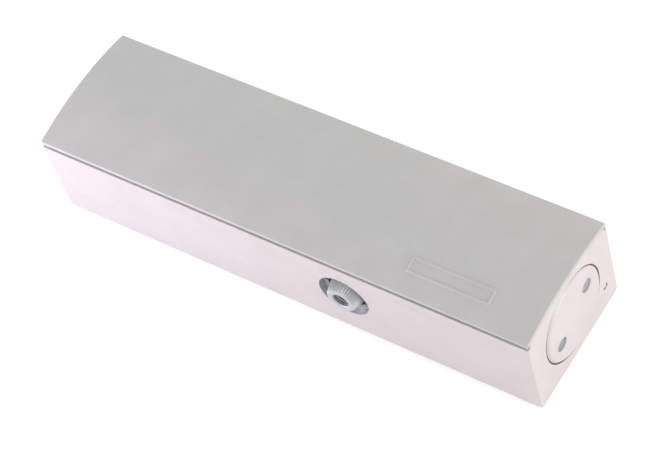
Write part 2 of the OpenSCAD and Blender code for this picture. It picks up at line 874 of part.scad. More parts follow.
module relief_spring() {
    start_x = relief_screw_x + relief_screw_length + relief_wire_radius + contact_gap;
    end_x = relief_ball_x - 0.75 * relief_ball_radius - relief_travel;
    rings = relief_rings_per_turn * relief_coils;
    rises = [for (k = [0:rings]) (end_x - start_x) * k / rings];
    color(spring_steel)
        translate([start_x, relief_y, bore_z])
            wire_helix(relief_mean_radius, relief_wire_radius, relief_sides,
                relief_rings_per_turn, rises);
}

module relief_screw() {
    color(brass)
        translate([0, relief_y, bore_z])
            difference() {
                cylinder_x(relief_screw_x, relief_screw_x + relief_screw_length, relief_radius);
                cylinder_x(relief_screw_x - 1, relief_screw_x + relief_screw_length + 1,
                    relief_passage_radius);
                translate([relief_screw_x, 0, 0])
                    cube([2 * relief_slot_depth, 2 * relief_radius + 1, relief_slot_width],
                        center = true);
            }
}

// Outline of the pinion's teeth in X and Z, with a gap between teeth facing the rack
module pinion_outline() {
    radii = flank_radii();
    last = len(radii) - 1;
    step = 360 / pinion_teeth;
    polygon([
        for (k = [0:pinion_teeth - 1])
            let (middle = 90 + (k + 0.5) * step)
            each concat(
                [for (i = [0:last])
                    polar(radii[i], middle - tooth_half_angle_at(max(radii[i], base_radius)))],
                [for (i = [last:-1:0])
                    polar(radii[i], middle + tooth_half_angle_at(max(radii[i], base_radius)))]
            )
    ]);
}

// Serrated taper of a spindle end, standing on the upper journal
module serrated_taper() {
    root = serration_radius - serration_depth;
    translate([0, taper_base_y, 0])
        rotate([-90, 0, 0])
            linear_extrude(height = spindle_tip_y - taper_base_y,
                scale = taper_end_radius / serration_radius)
                polygon([
                    for (k = [0:2 * serration_count - 1])
                        polar(k % 2 == 0 ? serration_radius : root, 180 * k / serration_count)
                ]);
}

module pinion_shaft() {
    color(steel)
        on_spindle()
            difference() {
                union() {
                    translate([0, tooth_half_width, 0])
                        rotate([90, 0, 0])
                            linear_extrude(height = 2 * tooth_half_width)
                                pinion_outline();
                    both_sides() {
                        cylinder_y(tooth_half_width - eps, taper_base_y, journal_radius);
                        serrated_taper();
                    }
                }
                both_sides() {
                    cylinder_y(spindle_tip_y - arm_screw_depth, spindle_tip_y + 1,
                        arm_screw_radius);
                    cylinder_y(spindle_tip_y - arm_screw_countersink, spindle_tip_y + eps,
                        arm_screw_radius, arm_screw_radius + arm_screw_countersink);
                }
            }
}

// Pieces round one spindle end, made for the upper face
module bearing_cup() {
    color(spring_steel)
        on_spindle()
            difference() {
                cylinder_y(bearing_inner_y, seal_inner_y, bearing_radius);
                cylinder_y(bearing_inner_y + cup_lip_thickness, seal_inner_y - cup_lip_thickness,
                    cup_inner_radius);
                cylinder_y(bearing_inner_y - 1, seal_inner_y + 1, shaft_hole_radius + cup_lip_clear);
            }
}

module bearing_needles() {
    color(steel)
        on_spindle()
            for (k = [0:needle_count - 1])
                rotate([0, 360 * k / needle_count, 0])
                    translate([needle_orbit, 0, 0])
                        cylinder_y(bearing_inner_y + cup_lip_thickness + 2 * contact_gap,
                            seal_inner_y - cup_lip_thickness - 2 * contact_gap, needle_radius,
                            $fn = 24);
}

module shaft_seal() {
    color(rubber)
        on_spindle()
            difference() {
                cylinder_y(seal_inner_y, ring_inner_y, bearing_radius);
                cylinder_y(seal_inner_y - 1, ring_inner_y + 1, shaft_hole_radius);
                difference() {
                    cylinder_y(seal_inner_y - 1, seal_inner_y + seal_lip_depth,
                        bearing_radius - seal_rim_wall);
                    cylinder_y(seal_inner_y - 2, ring_inner_y, journal_radius + seal_lip_wall);
                }
            }
}

module bearing_ring(slot_turn) {
    color(steel)
        on_spindle()
            difference() {
                cylinder_y(ring_inner_y, ring_outer_y, bearing_radius);
                cylinder_y(ring_inner_y - 1, ring_outer_y + 1, journal_radius + moving_gap);
                rotate([0, slot_turn, 0])
                    translate([0, ring_outer_y, 0])
                        cube([3 * recess_radius, 2 * ring_slot_depth, ring_slot_width],
                            center = true);
            }
}

module upper_bearing_cup() {
    bearing_cup();
}

module upper_bearing_needles() {
    bearing_needles();
}

module upper_shaft_seal() {
    shaft_seal();
}

module upper_bearing_ring() {
    bearing_ring(-ring_slot_angle);
}

module lower_bearing_cup() {
    lower_side() bearing_cup();
}

module lower_bearing_needles() {
    lower_side() bearing_needles();
}

module lower_shaft_seal() {
    lower_side() shaft_seal();
}

module lower_bearing_ring() {
    lower_side() bearing_ring(-ring_slot_angle);
}

// Needle valve screw, with its tip towards the mounting face
module valve_screw(x) {
    color(brass)
        translate([x, valve_y, 0])
            difference() {
                union() {
                    translate([0, 0, valve_thread_z])
                        cylinder(h = valve_top_z - valve_thread_z, r = valve_radius);
                    translate([0, 0, valve_tip_z + valve_tip_length])
                        cylinder(h = valve_thread_z - valve_bottom_z - valve_tip_length,
                            r = valve_stem_radius);
                    translate([0, 0, valve_tip_z])
                        cylinder(h = valve_tip_length, r1 = valve_tip_radius,
                            r2 = valve_stem_radius);
                }
                translate([0, 0, valve_seal_z - valve_seal_width / 2])
                    difference() {
                        cylinder(h = valve_seal_width, r = valve_radius + 1);
                        translate([0, 0, -1])
                            cylinder(h = valve_seal_width + 2, r = valve_radius - valve_seal_depth);
                    }
                translate([0, 0, valve_top_z])
                    cube([2 * valve_radius + 1, valve_slot_width, 2 * valve_slot_depth],
                        center = true);
            }
}

module valve_seal(x) {
    section = (valve_seal_depth + running_play / 2) / 2;
    color(rubber)
        translate([x, valve_y, valve_seal_z])
            rotate_extrude()
                translate([valve_radius - valve_seal_depth + section, 0])
                    circle(r = section, $fn = 32);
}

module closing_speed_valve() {
    valve_screw(closing_valve_x);
}

module closing_valve_seal() {
    valve_seal(closing_valve_x);
}

module latching_speed_valve() {
    valve_screw(latching_valve_x);
}

module latching_valve_seal() {
    valve_seal(latching_valve_x);
}

// Balls pressed into the drilled ends of the oil duct and of the return port
module oil_duct_balls() {
    color(steel) {
        translate([half_length - duct_ball_radius - duct_ball_inset, valve_y, duct_depth])
            sphere(r = duct_ball_radius);
        translate([return_port_x, half_height - port_ball_radius, duct_depth])
            sphere(r = port_ball_radius);
    }
}

housing();
front_cover();
cover_studs();
stud_grommets();
damping_end_plug();
damping_plug_seal();
spring_end_plug();
spring_plug_seal();
adjusting_screw();
adjusting_screw_seal();
adjusting_screw_clip();
spring_plate();
closing_spring();
piston();
check_ball();
check_valve_retainer();
relief_ball();
relief_spring();
relief_screw();
pinion_shaft();
lower_bearing_cup();
lower_bearing_needles();
lower_shaft_seal();
lower_bearing_ring();
upper_bearing_cup();
upper_bearing_needles();
upper_shaft_seal();
upper_bearing_ring();
closing_speed_valve();
closing_valve_seal();
latching_speed_valve();
latching_valve_seal();
oil_duct_balls();
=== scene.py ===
"""A door closer body lying on its mounting face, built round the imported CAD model.

Everything is in metres in the CAD's frame: +X runs to the damping end, Y along the spindle and
+Z out of the mounting face. The housing, cover, plugs, spindle, rings, springs and screws are
rebuilt with rounded edges, threads and serrations. Every other piece keeps its CAD node, with its
edges softened by modifiers where they are sharp, and gets a material with more to it.
"""

import json
import math

import bmesh
import bpy
from mathutils import Matrix, Vector


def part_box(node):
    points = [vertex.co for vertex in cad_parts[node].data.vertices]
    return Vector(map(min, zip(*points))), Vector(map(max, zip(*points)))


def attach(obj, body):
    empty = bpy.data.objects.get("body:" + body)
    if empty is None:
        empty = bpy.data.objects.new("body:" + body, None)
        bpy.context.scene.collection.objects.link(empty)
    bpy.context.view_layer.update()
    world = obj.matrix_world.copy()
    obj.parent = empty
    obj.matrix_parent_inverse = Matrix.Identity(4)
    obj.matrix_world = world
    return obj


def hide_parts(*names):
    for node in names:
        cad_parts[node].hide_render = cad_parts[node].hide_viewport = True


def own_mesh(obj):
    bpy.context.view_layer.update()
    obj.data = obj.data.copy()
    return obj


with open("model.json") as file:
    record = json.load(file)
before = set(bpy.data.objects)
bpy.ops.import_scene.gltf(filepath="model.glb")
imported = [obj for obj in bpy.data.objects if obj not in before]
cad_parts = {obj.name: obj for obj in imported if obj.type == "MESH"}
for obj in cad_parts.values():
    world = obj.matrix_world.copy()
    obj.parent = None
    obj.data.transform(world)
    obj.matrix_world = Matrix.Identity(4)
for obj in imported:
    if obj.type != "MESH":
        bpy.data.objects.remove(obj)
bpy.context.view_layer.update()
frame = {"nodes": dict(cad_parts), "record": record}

MM = 0.001
TAU = 2 * math.pi

# ---------------- sizes taken from the frame

housing_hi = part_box("housing")[1]
cover_lo, cover_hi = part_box("front_cover")
plug_lo, plug_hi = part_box("damping_end_plug")
pinion_lo, pinion_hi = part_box("pinion_shaft")
ring_lo, ring_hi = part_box("upper_bearing_ring")
screw_lo, screw_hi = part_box("adjusting_screw")
clip_lo, clip_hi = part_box("adjusting_screw_clip")
spring_lo, spring_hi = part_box("closing_spring")
grommet_lo, grommet_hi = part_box("stud_grommets")
closing_lo, closing_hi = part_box("closing_speed_valve")
latching_lo, latching_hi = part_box("latching_speed_valve")

half_length = housing_hi.x
half_height = housing_hi.y
bore_z = (plug_lo.z + plug_hi.z) / 2
plug_radius = plug_hi.y
spindle_x = (pinion_lo.x + pinion_hi.x) / 2
spindle_z = (pinion_lo.z + pinion_hi.z) / 2

# Sizes that the frame's boxes don't give, as in the CAD source.
COVER_THICKNESS = 1.5 * MM
COVER_GAP = 0.1 * MM
GROOVE_HEIGHT = 1.9 * MM
GROOVE_DEPTH = 1.8 * MM
BACK_EDGE_RADIUS = 1.2 * MM
BORE_RADIUS = 18.5 * MM
RECESS_RADIUS = 11.2 * MM
SEAT_PLAY = 0.03 * MM
JOURNAL_RADIUS = 8 * MM
HOLE_RADIUS = 3.4 * MM
OVERCUT = 1 * MM  # how far a cutting tool runs past the face that it cuts through
NEAR = 0.01 * MM  # two measures closer than this are the same

crown_rise = cover_hi.z - (cover_lo.z + COVER_THICKNESS)
front_radius = (half_height ** 2 + crown_rise ** 2) / (2 * crown_rise)
front_centre_z = cover_hi.z - front_radius
neck_half = half_height - GROOVE_DEPTH
groove_z = cover_lo.z - GROOVE_HEIGHT


def front_z(y, below=0.0):
    """Height of the crowned front at y, or of the arc that lies that far below it."""
    return front_centre_z + math.sqrt((front_radius - below) ** 2 - y ** 2)


# ---------------- camera, lights and floor

TARGET = Vector((4.5, -5.1, 24.0)) * MM
CAMERA_DISTANCE = 960.6 * MM
CAMERA_AZIMUTH = math.radians(48.09)
CAMERA_ELEVATION = math.radians(53.82)
CAMERA_ROLL = math.radians(-19.47)
CAMERA_CLIP = (0.05, 20)
LENS = 134.5
BACKDROP_STRENGTH = 1.1
FLOOR_SIZE = 6.0
FLOOR_GAP = 0.02 * MM

# Each softbox: name, azimuth and elevation in degrees, distance, side, power in watts, colour.
SOFTBOXES = (
    ("left_softbox", -50, 9, 0.42, 0.25, 1.68, (0.90, 0.80, 0.96)),
    ("front_softbox", 25, 8, 1.0, 0.7, 0.3, (1.0, 0.72, 0.62)),
    ("end_softbox", 88, 9, 0.9, 0.6, 5.1, (1.0, 0.89, 0.89)),
    ("far_softbox", 165, 6, 0.9, 0.6, 4.4, (1.0, 1.0, 0.99)),
)


def away(azimuth, elevation):
    """Unit vector towards a place seen at this azimuth and elevation; azimuth 0 is -Y."""
    return Vector((math.sin(azimuth) * math.cos(elevation),
                   -math.cos(azimuth) * math.cos(elevation),
                   math.sin(elevation)))


def make_camera():
    """The camera that took the photograph, as solved from the body's edges in it."""
    data = bpy.data.cameras.new("camera")
    data.lens = LENS
    data.clip_start, data.clip_end = CAMERA_CLIP
    camera = bpy.data.objects.new("camera", data)
    bpy.context.scene.collection.objects.link(camera)
    back = away(CAMERA_AZIMUTH, CAMERA_ELEVATION)
    camera.location = TARGET + back * CAMERA_DISTANCE
    upright = (-back).to_track_quat("-Z", "Y").to_matrix()
    camera.rotation_euler = (upright @ Matrix.Rotation(CAMERA_ROLL, 3, "Z")).to_euler()
    bpy.context.scene.camera = camera


def make_softbox(name, azimuth, elevation, distance, size, power, colour):
    """Square area light that faces the object."""
    data = bpy.data.lights.new(name, "AREA")
    data.shape = "SQUARE"
    data.size = size
    data.energy = power
    data.color = colour
    light = bpy.data.objects.new(name, data)
    bpy.context.scene.collection.objects.link(light)
    back = away(math.radians(azimuth), math.radians(elevation))
    light.location = TARGET + back * distance
    light.rotation_euler = (-back).to_track_quat("-Z", "Y").to_euler()


def make_backdrop():
    """White surroundings. Blender's default view transform would show them as grey."""
    world = bpy.data.worlds.new("studio")
    bpy.context.scene.world = world
    world.use_nodes = True
    backdrop = world.node_tree.nodes["Background"]
    backdrop.inputs["Color"].default_value = (1.0, 1.0, 1.0, 1.0)
    backdrop.inputs["Strength"].default_value = BACKDROP_STRENGTH
    bpy.context.scene.view_settings.view_transform = "Standard"


def make_floor(material):
    """Plain ground, just under the mounting face so that the two don't share a plane."""
    bm = bmesh.new()
    bmesh.ops.create_grid(bm, x_segments=8, y_segments=8, size=FLOOR_SIZE / 2)
    mesh = bpy.data.meshes.new("floor")
    bm.to_mesh(mesh)
    bm.free()
    floor = bpy.data.objects.new("floor", mesh)
    floor.location.z = -FLOOR_GAP
    floor.data.materials.append(material)
    bpy.context.scene.collection.objects.link(floor)


# ---------------- materials

PAINT_SKIN = 0.4 * MM  # faces deeper than this under the painted outside are bare
PLUG_GAP_SHADE_REACH = (0.25 * MM, 0.42 * MM)  # painted shade on each side of the plug's edge, in the gap round it
PLUG_GAP_SHADE_DEPTH = (0.06 * MM, 1.6 * MM)  # painted shade below the end face, in the mouth of the gap
RING_SHADE_DEPTH = 0.55 * MM  # the ring is painted near-black as shade from here down


class Shader:
    """A principled material with procedural colour, roughness and bump."""

    def __init__(self, name, metallic=0.0, coat=0.0, specular=0.5):
        self.material = bpy.data.materials.new(name)
        self.material.use_nodes = True
        self.nodes = self.material.node_tree.nodes
        self.links = self.material.node_tree.links
        self.surface = self.nodes["Principled BSDF"]
        self.surface.inputs["Metallic"].default_value = metallic
        self.surface.inputs["Coat Weight"].default_value = coat
        self.surface.inputs["Coat Roughness"].default_value = 0.35
        self.surface.inputs["Specular IOR Level"].default_value = specular
        self.place = self.nodes.new("ShaderNodeTexCoord").outputs["Object"]
        self.normal = None

    def noise(self, size, detail=2.0, stretch=(1, 1, 1)):
        """Noise whose lumps are about size across, squeezed along each axis by stretch."""
        mapping = self.nodes.new("ShaderNodeMapping")
        mapping.inputs["Scale"].default_value = [s / size for s in stretch]
        self.links.new(self.place, mapping.inputs["Vector"])
        texture = self.nodes.new("ShaderNodeTexNoise")
        texture.inputs["Scale"].default_value = 1.0
        texture.inputs["Detail"].default_value = detail
        self.links.new(mapping.outputs["Vector"], texture.inputs["Vector"])
        return texture.outputs["Fac"]

    def flakes(self, size):
        """Random value in each small cell, as metal flakes in a paint."""
        texture = self.nodes.new("ShaderNodeTexVoronoi")
        texture.inputs["Scale"].default_value = 1.0 / size
        self.links.new(self.place, texture.inputs["Vector"])
        split = self.nodes.new("ShaderNodeSeparateColor")
        self.links.new(texture.outputs["Color"], split.inputs["Color"])
        return split.outputs["Red"]

    def spread(self, value, low, high, start=0.3, end=0.7):
        """Maps the value between start and end onto low to high."""
        ranged = self.nodes.new("ShaderNodeMapRange")
        ranged.inputs["From Min"].default_value = start
        ranged.inputs["From Max"].default_value = end
        ranged.inputs["To Min"].default_value = low
        ranged.inputs["To Max"].default_value = high
        self.links.new(value, ranged.inputs["Value"])
        return ranged.outputs["Result"]

    def math(self, operation, a, b):
        """Math node on a socket and a second socket or number."""
        node = self.nodes.new("ShaderNodeMath")
        node.operation = operation
        self.links.new(a, node.inputs[0])
        if isinstance(b, (int, float)):
            node.inputs[1].default_value = b
        else:
            self.links.new(b, node.inputs[1])
        return node.outputs["Value"]

    def blend(self, factor, a, b):
        """Number that goes from a to b with the factor."""
        return self.spread(factor, a, b, 0, 1)

    def blend_colour(self, factor, a, b):
        """Colour that goes from a to b with the factor; each is a colour or a socket."""
        mix = self.nodes.new("ShaderNodeMix")
        mix.data_type = "RGBA"
        for name, value in (("A", a), ("B", b)):
            if isinstance(value, tuple):
                mix.inputs[name].default_value = (*value, 1.0)
            else:
                self.links.new(value, mix.inputs[name])
        self.links.new(factor, mix.inputs["Factor"])
        return mix.outputs["Result"]

    def along(self, axis):
        """Place along one axis."""
        split = self.nodes.new("ShaderNodeSeparateXYZ")
        self.links.new(self.place, split.inputs["Vector"])
        return split.outputs[axis]

    def off_middle(self, axis):
        """Place along one axis, without its sign."""
        return self.math("ABSOLUTE", self.along(axis), 0)

    def distance(self, centre, axes):
        """Distance from a point, counted only along the axes given as 1."""
        mapping = self.nodes.new("ShaderNodeMapping")
        mapping.inputs["Location"].default_value = [-c * a for c, a in zip(centre, axes)]
        mapping.inputs["Scale"].default_value = axes
        self.links.new(self.place, mapping.inputs["Vector"])
        length = self.nodes.new("ShaderNodeVectorMath")
        length.operation = "LENGTH"
        self.links.new(mapping.outputs["Vector"], length.inputs[0])
        return length.outputs["Value"]

    def buried(self, x, y, low, high):
        """1 where |X| and |Y| are under x and y and Z is between low and high, else 0."""
        height = self.along("Z")
        inside = self.math("GREATER_THAN", height, low)
        for value, limit in ((self.off_middle("X"), x), (self.off_middle("Y"), y), (height, high)):
            inside = self.math("MULTIPLY", inside, self.math("LESS_THAN", value, limit))
        return inside

    def colour(self, value, dark, light):
        """Blends the base colour from dark to light with the value; each may be a socket."""
        self.links.new(self.blend_colour(value, dark, light), self.surface.inputs["Base Color"])

    def roughness(self, value):
        """Takes the roughness from a socket."""
        self.links.new(value, self.surface.inputs["Roughness"])

    def bump(self, value, height):
        """Adds a bump of that height in metres on top of the bumps before it."""
        node = self.nodes.new("ShaderNodeBump")
        node.inputs["Strength"].default_value = 1.0
        node.inputs["Distance"].default_value = height
        self.links.new(value, node.inputs["Height"])
        if self.normal:
            self.links.new(self.normal, node.inputs["Normal"])
        self.normal = node.outputs["Normal"]
        self.links.new(self.normal, self.surface.inputs["Normal"])


def coat_tone(shader):
    """How light the powder coat is: a faint mottle and fine flakes added together."""
    mottle = shader.spread(shader.noise(14 * MM, detail=3), 0.0, 0.5)
    flakes = shader.spread(shader.flakes(0.28 * MM), 0.0, 0.5, 0, 1)
    return shader.math("ADD", mottle, flakes)


def coat_surface(shader):
    """Satin sheen with soft orange peel and a fine grain."""
    shader.roughness(shader.spread(shader.noise(5 * MM), 0.40, 0.50))
    shader.bump(shader.noise(1.6 * MM, detail=1), 0.012 * MM)
    shader.bump(shader.noise(0.35 * MM, detail=2), 0.005 * MM)


def paint_material(name, dark, light):
    """Satin silver-grey powder coat."""
    shader = Shader(name, metallic=0.12, coat=0.08, specular=0.4)
    shader.colour(coat_tone(shader), dark, light)
    coat_surface(shader)
    return shader.material


def casting_material(name, dark, light):
    """The same coat outside and machined metal in the bores and holes. Round the plugs the
    machined metal is lightened as painted light, and the gap round each plug has a dark ring
    of painted shade.
    """
    shader = Shader(name, coat=0.05, specular=0.4)

    def sunk(depth):
        return shader.buried(half_length - depth, half_height, 0, 2 * bore_z)

    reach = shader.distance((0, 0, bore_z), (0, 1, 1))
    drilled = shader.math("MULTIPLY", shader.math("LESS_THAN", reach, plug_radius + PAINT_SKIN),
                          sunk(PAINT_SKIN))
    below_skin = shader.buried(half_length - PAINT_SKIN, half_height - PAINT_SKIN,
                               PAINT_SKIN, groove_z - PAINT_SKIN)
    bare = shader.math("MAXIMUM", below_skin, drilled)
    coat = shader.blend_colour(coat_tone(shader), dark, light)
    grain = shader.noise(4 * MM, detail=4)
    dull = shader.blend_colour(grain, (0.38, 0.39, 0.405), (0.52, 0.53, 0.545))
    # The machined metal round the plugs is real, but its extra lightness is painted light against
    # the shade deep in the holes.
    painted_light_drilled_metal = shader.blend_colour(grain, (0.62, 0.65, 0.69), (0.74, 0.77, 0.80))
    machined = shader.blend_colour(drilled, dull, painted_light_drilled_metal)
    free_of_painted_shade = shader.blend_colour(bare, coat, machined)
    # A dark ring in the mouth of the gap round each plug is painted shade.
    inner, outer = PLUG_GAP_SHADE_REACH
    plug_gap_shade_ring = shader.math("MULTIPLY", shader.math("GREATER_THAN", reach, plug_radius - inner),
                             shader.math("LESS_THAN", reach, plug_radius + outer))
    shallow, deep = PLUG_GAP_SHADE_DEPTH
    in_mouth = shader.math("SUBTRACT", sunk(shallow), sunk(deep))
    shader.colour(shader.math("MULTIPLY", plug_gap_shade_ring, in_mouth), free_of_painted_shade, (0.09, 0.09, 0.10))
    shader.links.new(shader.blend(bare, 0.12, 0.6), shader.surface.inputs["Metallic"])
    coat_surface(shader)
    return shader.material


def metal_material(name, dark, light, rough=(0.25, 0.4), stretch=(1, 1, 1)):
    """Bare metal with machining marks, which stretch squeezes along an axis."""
    shader = Shader(name, metallic=0.9, specular=0.5)
    shader.colour(shader.spread(shader.noise(3 * MM, detail=4), 0.0, 1.0), dark, light)
    marks = shader.noise(0.4 * MM, detail=3, stretch=stretch)
    shader.roughness(shader.spread(marks, *rough))
    shader.bump(marks, 0.004 * MM)
    return shader.material


def spindle_material():
    """Dull turned steel, darker inside the tapped holes as painted shade."""
    shader = Shader("spindle_steel", metallic=0.65, specular=0.4)
    reach = shader.distance((spindle_x, 0, spindle_z), (1, 0, 1))
    # Painted shade darkens the inside of the tapped holes.
    outside_hole_shade = shader.spread(reach, 0.0, 1.0, HOLE_RADIUS, HOLE_RADIUS + 0.7 * MM)
    grain = shader.spread(shader.noise(1.5 * MM, detail=4), 0.75, 1.0)
    tone = shader.math("MULTIPLY", outside_hole_shade, grain)
    shader.colour(tone, (0.31, 0.30, 0.285), (0.47, 0.48, 0.495))
    marks = shader.noise(0.3 * MM, detail=3, stretch=(1, 3, 1))
    shader.roughness(shader.spread(marks, 0.48, 0.62))
    shader.bump(marks, 0.006 * MM)
    return shader.material


def ring_material():
    """Turned steel, painted near-black as shade from just under its top face down, so the slot's
    deep cuts show dark.
    """
    shader = Shader("ring_steel", metallic=0.8, specular=0.45)
    # Painted shade: near-black everywhere below the ring's top.
    free_of_painted_shade = shader.math("GREATER_THAN", shader.off_middle("Y"), ring_hi.y - RING_SHADE_DEPTH)
    grain = shader.spread(shader.noise(3 * MM, detail=4), 0.7, 1.0)
    shader.colour(shader.math("MULTIPLY", free_of_painted_shade, grain), (0.03, 0.03, 0.03), (0.42, 0.44, 0.45))
    marks = shader.noise(0.4 * MM, detail=3)
    shader.roughness(shader.spread(marks, 0.4, 0.6))
    shader.bump(marks, 0.004 * MM)
    return shader.material


def rubber_material():
    """Dull black rubber with a fine grain."""
    shader = Shader("rubber", specular=0.35)
    shader.colour(shader.noise(2 * MM, detail=4), (0.012, 0.012, 0.013), (0.035, 0.035, 0.037))
    shader.roughness(shader.spread(shader.noise(1 * MM), 0.55, 0.75))
    shader.bump(shader.noise(0.3 * MM, detail=3), 0.01 * MM)
    return shader.material


def floor_material():
    """Matt, nearly white ground."""
    shader = Shader("pale_floor", specular=0.2)
    shader.colour(shader.noise(400 * MM, detail=2), (0.94, 0.94, 0.94), (0.96, 0.96, 0.96))
    shader.roughness(shader.spread(shader.noise(60 * MM), 0.6, 0.7))
    return shader.material


MATERIALS = {
    # Housing and cover wear the same silver-grey coat: the cover's copy is darker as painted shade
    # on the crown, the housing's copy lighter and pinker as painted light on the sides.
    "body_paint": casting_material("body_paint", (0.432, 0.406, 0.402), (0.482, 0.456, 0.452)),
    "cover_paint": paint_material("cover_paint", (0.352, 0.350, 0.346), (0.398, 0.396, 0.392)),
    "spindle_steel": spindle_material(),
    "ring_steel": ring_material(),
    "bare_steel": metal_material("bare_steel", (0.42, 0.43, 0.44), (0.58, 0.59, 0.60)),
    "ground_steel": metal_material("ground_steel", (0.50, 0.51, 0.52), (0.64, 0.65, 0.66),
                                   rough=(0.15, 0.25), stretch=(4, 1, 1)),
    "spring_steel": metal_material("spring_steel", (0.06, 0.062, 0.068), (0.13, 0.132, 0.14),
                                   rough=(0.35, 0.5)),
    "brass": metal_material("brass", (0.52, 0.36, 0.12), (0.68, 0.50, 0.20)),
    "rubber": rubber_material(),
}

# ---------------- mesh tools

SMOOTH_ANGLE = math.radians(32)
SOFT_ANGLE = math.radians(40)
WELD_DISTANCE = 0.002 * MM
ROUND = 96  # segments of a round piece


def apply_modifiers(obj):
    """Gives the object the mesh that its modifiers make, and removes them."""
    depsgraph = bpy.context.evaluated_depsgraph_get()
    mesh = bpy.data.meshes.new_from_object(obj.evaluated_get(depsgraph))
    obj.modifiers.clear()
    obj.data = mesh


def new_object(name, bm):
    """Object from a finished bmesh, with its faces turned outwards."""
    mesh = bpy.data.meshes.new(name)
    bmesh.ops.recalc_face_normals(bm, faces=bm.faces)
    bm.to_mesh(mesh)
    bm.free()
    obj = bpy.data.objects.new(name, mesh)
    bpy.context.scene.collection.objects.link(obj)
    return obj


def combine(obj, tools, operation="DIFFERENCE"):
    """Cuts the tools out of the object, or joins them to it, one after the other."""
    for tool in tools:
        modifier = obj.modifiers.new("combine", "BOOLEAN")
        modifier.operation = operation
        modifier.solver = "MANIFOLD"
        modifier.object = tool
        apply_modifiers(obj)
        bpy.data.objects.remove(tool)


def mirror_and_move(obj, side, axis, spot):
    """Mirrors a piece along the axis where side is negative, then moves it to the spot."""
    if side < 0:
        obj.data.transform(Matrix.Scale(-1, 4, axis))
        obj.data.flip_normals()
    obj.data.transform(Matrix.Translation(spot))


def round_edges(obj, width, chosen):
    """Rounds the sharp edges whose two ends the test accepts."""
    bm = bmesh.new()
    bm.from_mesh(obj.data)
    bmesh.ops.remove_doubles(bm, verts=bm.verts, dist=WELD_DISTANCE)
    bmesh.ops.dissolve_degenerate(bm, edges=bm.edges, dist=WELD_DISTANCE / 2)
    weights = bm.edges.layers.float.new("bevel_weight_edge")
    for edge in bm.edges:
        sharp = len(edge.link_faces) == 2 and edge.calc_face_angle(0) > SMOOTH_ANGLE
        if sharp and chosen(edge.verts[0].co, edge.verts[1].co):
            edge[weights] = 1.0
    bm.to_mesh(obj.data)
    bm.free()
    modifier = obj.modifiers.new("round", "BEVEL")
    modifier.width = width
    modifier.segments = 3
    modifier.limit_method = "WEIGHT"
    modifier.use_clamp_overlap = False
    modifier.miter_outer = "MITER_ARC"
    apply_modifiers(obj)


def dress(obj, body, slot, stands_for=()):
    """Gives a finished piece its shading, material and body."""
    mesh = obj.data
    mesh.name = obj.name
    mesh.materials.clear()
    mesh.materials.append(MATERIALS[slot])
    for polygon in mesh.polygons:
        polygon.use_smooth = True
    mesh.set_sharp_from_angle(angle=SMOOTH_ANGLE)
    weighted = obj.modifiers.new("even_shading", "WEIGHTED_NORMAL")
    weighted.keep_sharp = True
    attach(obj, body)
    if stands_for:
        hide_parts(*stands_for)


def arc(centre, radius, start, end, steps):
    """Points on a circle from one angle to another, both included."""
    return [(centre[0] + radius * math.cos(start + (end - start) * i / steps),
             centre[1] + radius * math.sin(start + (end - start) * i / steps))
            for i in range(steps + 1)]


def extrude_body(name, outline):
    """Closed outline in Y and Z drawn out over the body's whole length."""
    bm = bmesh.new()
    face = bm.faces.new([bm.verts.new((-half_length, y, z)) for y, z in outline])
    moved = bmesh.ops.extrude_face_region(bm, geom=[face])["geom"]
    bmesh.ops.translate(bm, verts=[g for g in moved if isinstance(g, bmesh.types.BMVert)],
                        vec=(2 * half_length, 0, 0))
    return new_object(name, bm)


AXES = {
    "x": Matrix(((0, 0, 1), (0, 1, 0), (-1, 0, 0))),
    "y": Matrix(((1, 0, 0), (0, 0, 1), (0, -1, 0))),
    "z": Matrix.Identity(3),
}


def skin_rows(bm, rows):
    """Quads between each two neighbouring rows of vertices, each row a closed loop."""
    for low, high in zip(rows, rows[1:]):
        for k in range(len(low)):
            n = (k + 1) % len(low)
            bm.faces.new((low[k], low[n], high[n], high[k]))


def lathe(name, profile, centre, axis, closed=False, segments=ROUND, wave=None):
    """Solid of revolution. The profile is (radius, height) pairs along the axis; wave(radius,
    height, angle) may change each point's radius. A closed profile makes a ring."""
    turn = AXES[axis]
    bm = bmesh.new()
    rows = []
    for radius, height in profile:
        if radius == 0:
            rows.append([bm.verts.new(turn @ Vector((0, 0, height)) + Vector(centre))])
            continue
        row = []
        for k in range(segments):
            angle = TAU * k / segments
            r = wave(radius, height, angle) if wave else radius
            spot = Vector((r * math.cos(angle), r * math.sin(angle), height))
            row.append(bm.verts.new(turn @ spot + Vector(centre)))
        rows.append(row)
    pairs = list(zip(rows, rows[1:]))
    if closed:
        pairs.append((rows[-1], rows[0]))
    for low, high in pairs:
        for k in range(segments):
            n = (k + 1) % segments
            corners = (low[k % len(low)], low[n % len(low)],
                       high[n % len(high)], high[k % len(high)])
            bm.faces.new(list(dict.fromkeys(corners)))  # a row on the axis is a single vertex
    if not closed:
        for row in (rows[0], rows[-1]):
            if len(row) > 1:
                bm.faces.new(row)
    return new_object(name, bm)


def rod(radius, start, end, centre, axis, segments=ROUND):
    """Plain cylinder, used as a cutting tool."""
    return lathe("tool", [(radius, start), (radius, end)], centre, axis, segments=segments)


def box_tool(size, centre):
    """Box, used as a cutting tool."""
    bm = bmesh.new()
    bmesh.ops.create_cube(bm, size=1.0)
    bmesh.ops.scale(bm, verts=bm.verts, vec=size)
    bmesh.ops.translate(bm, verts=bm.verts, vec=centre)
    return new_object("tool", bm)


# ---------------- housing

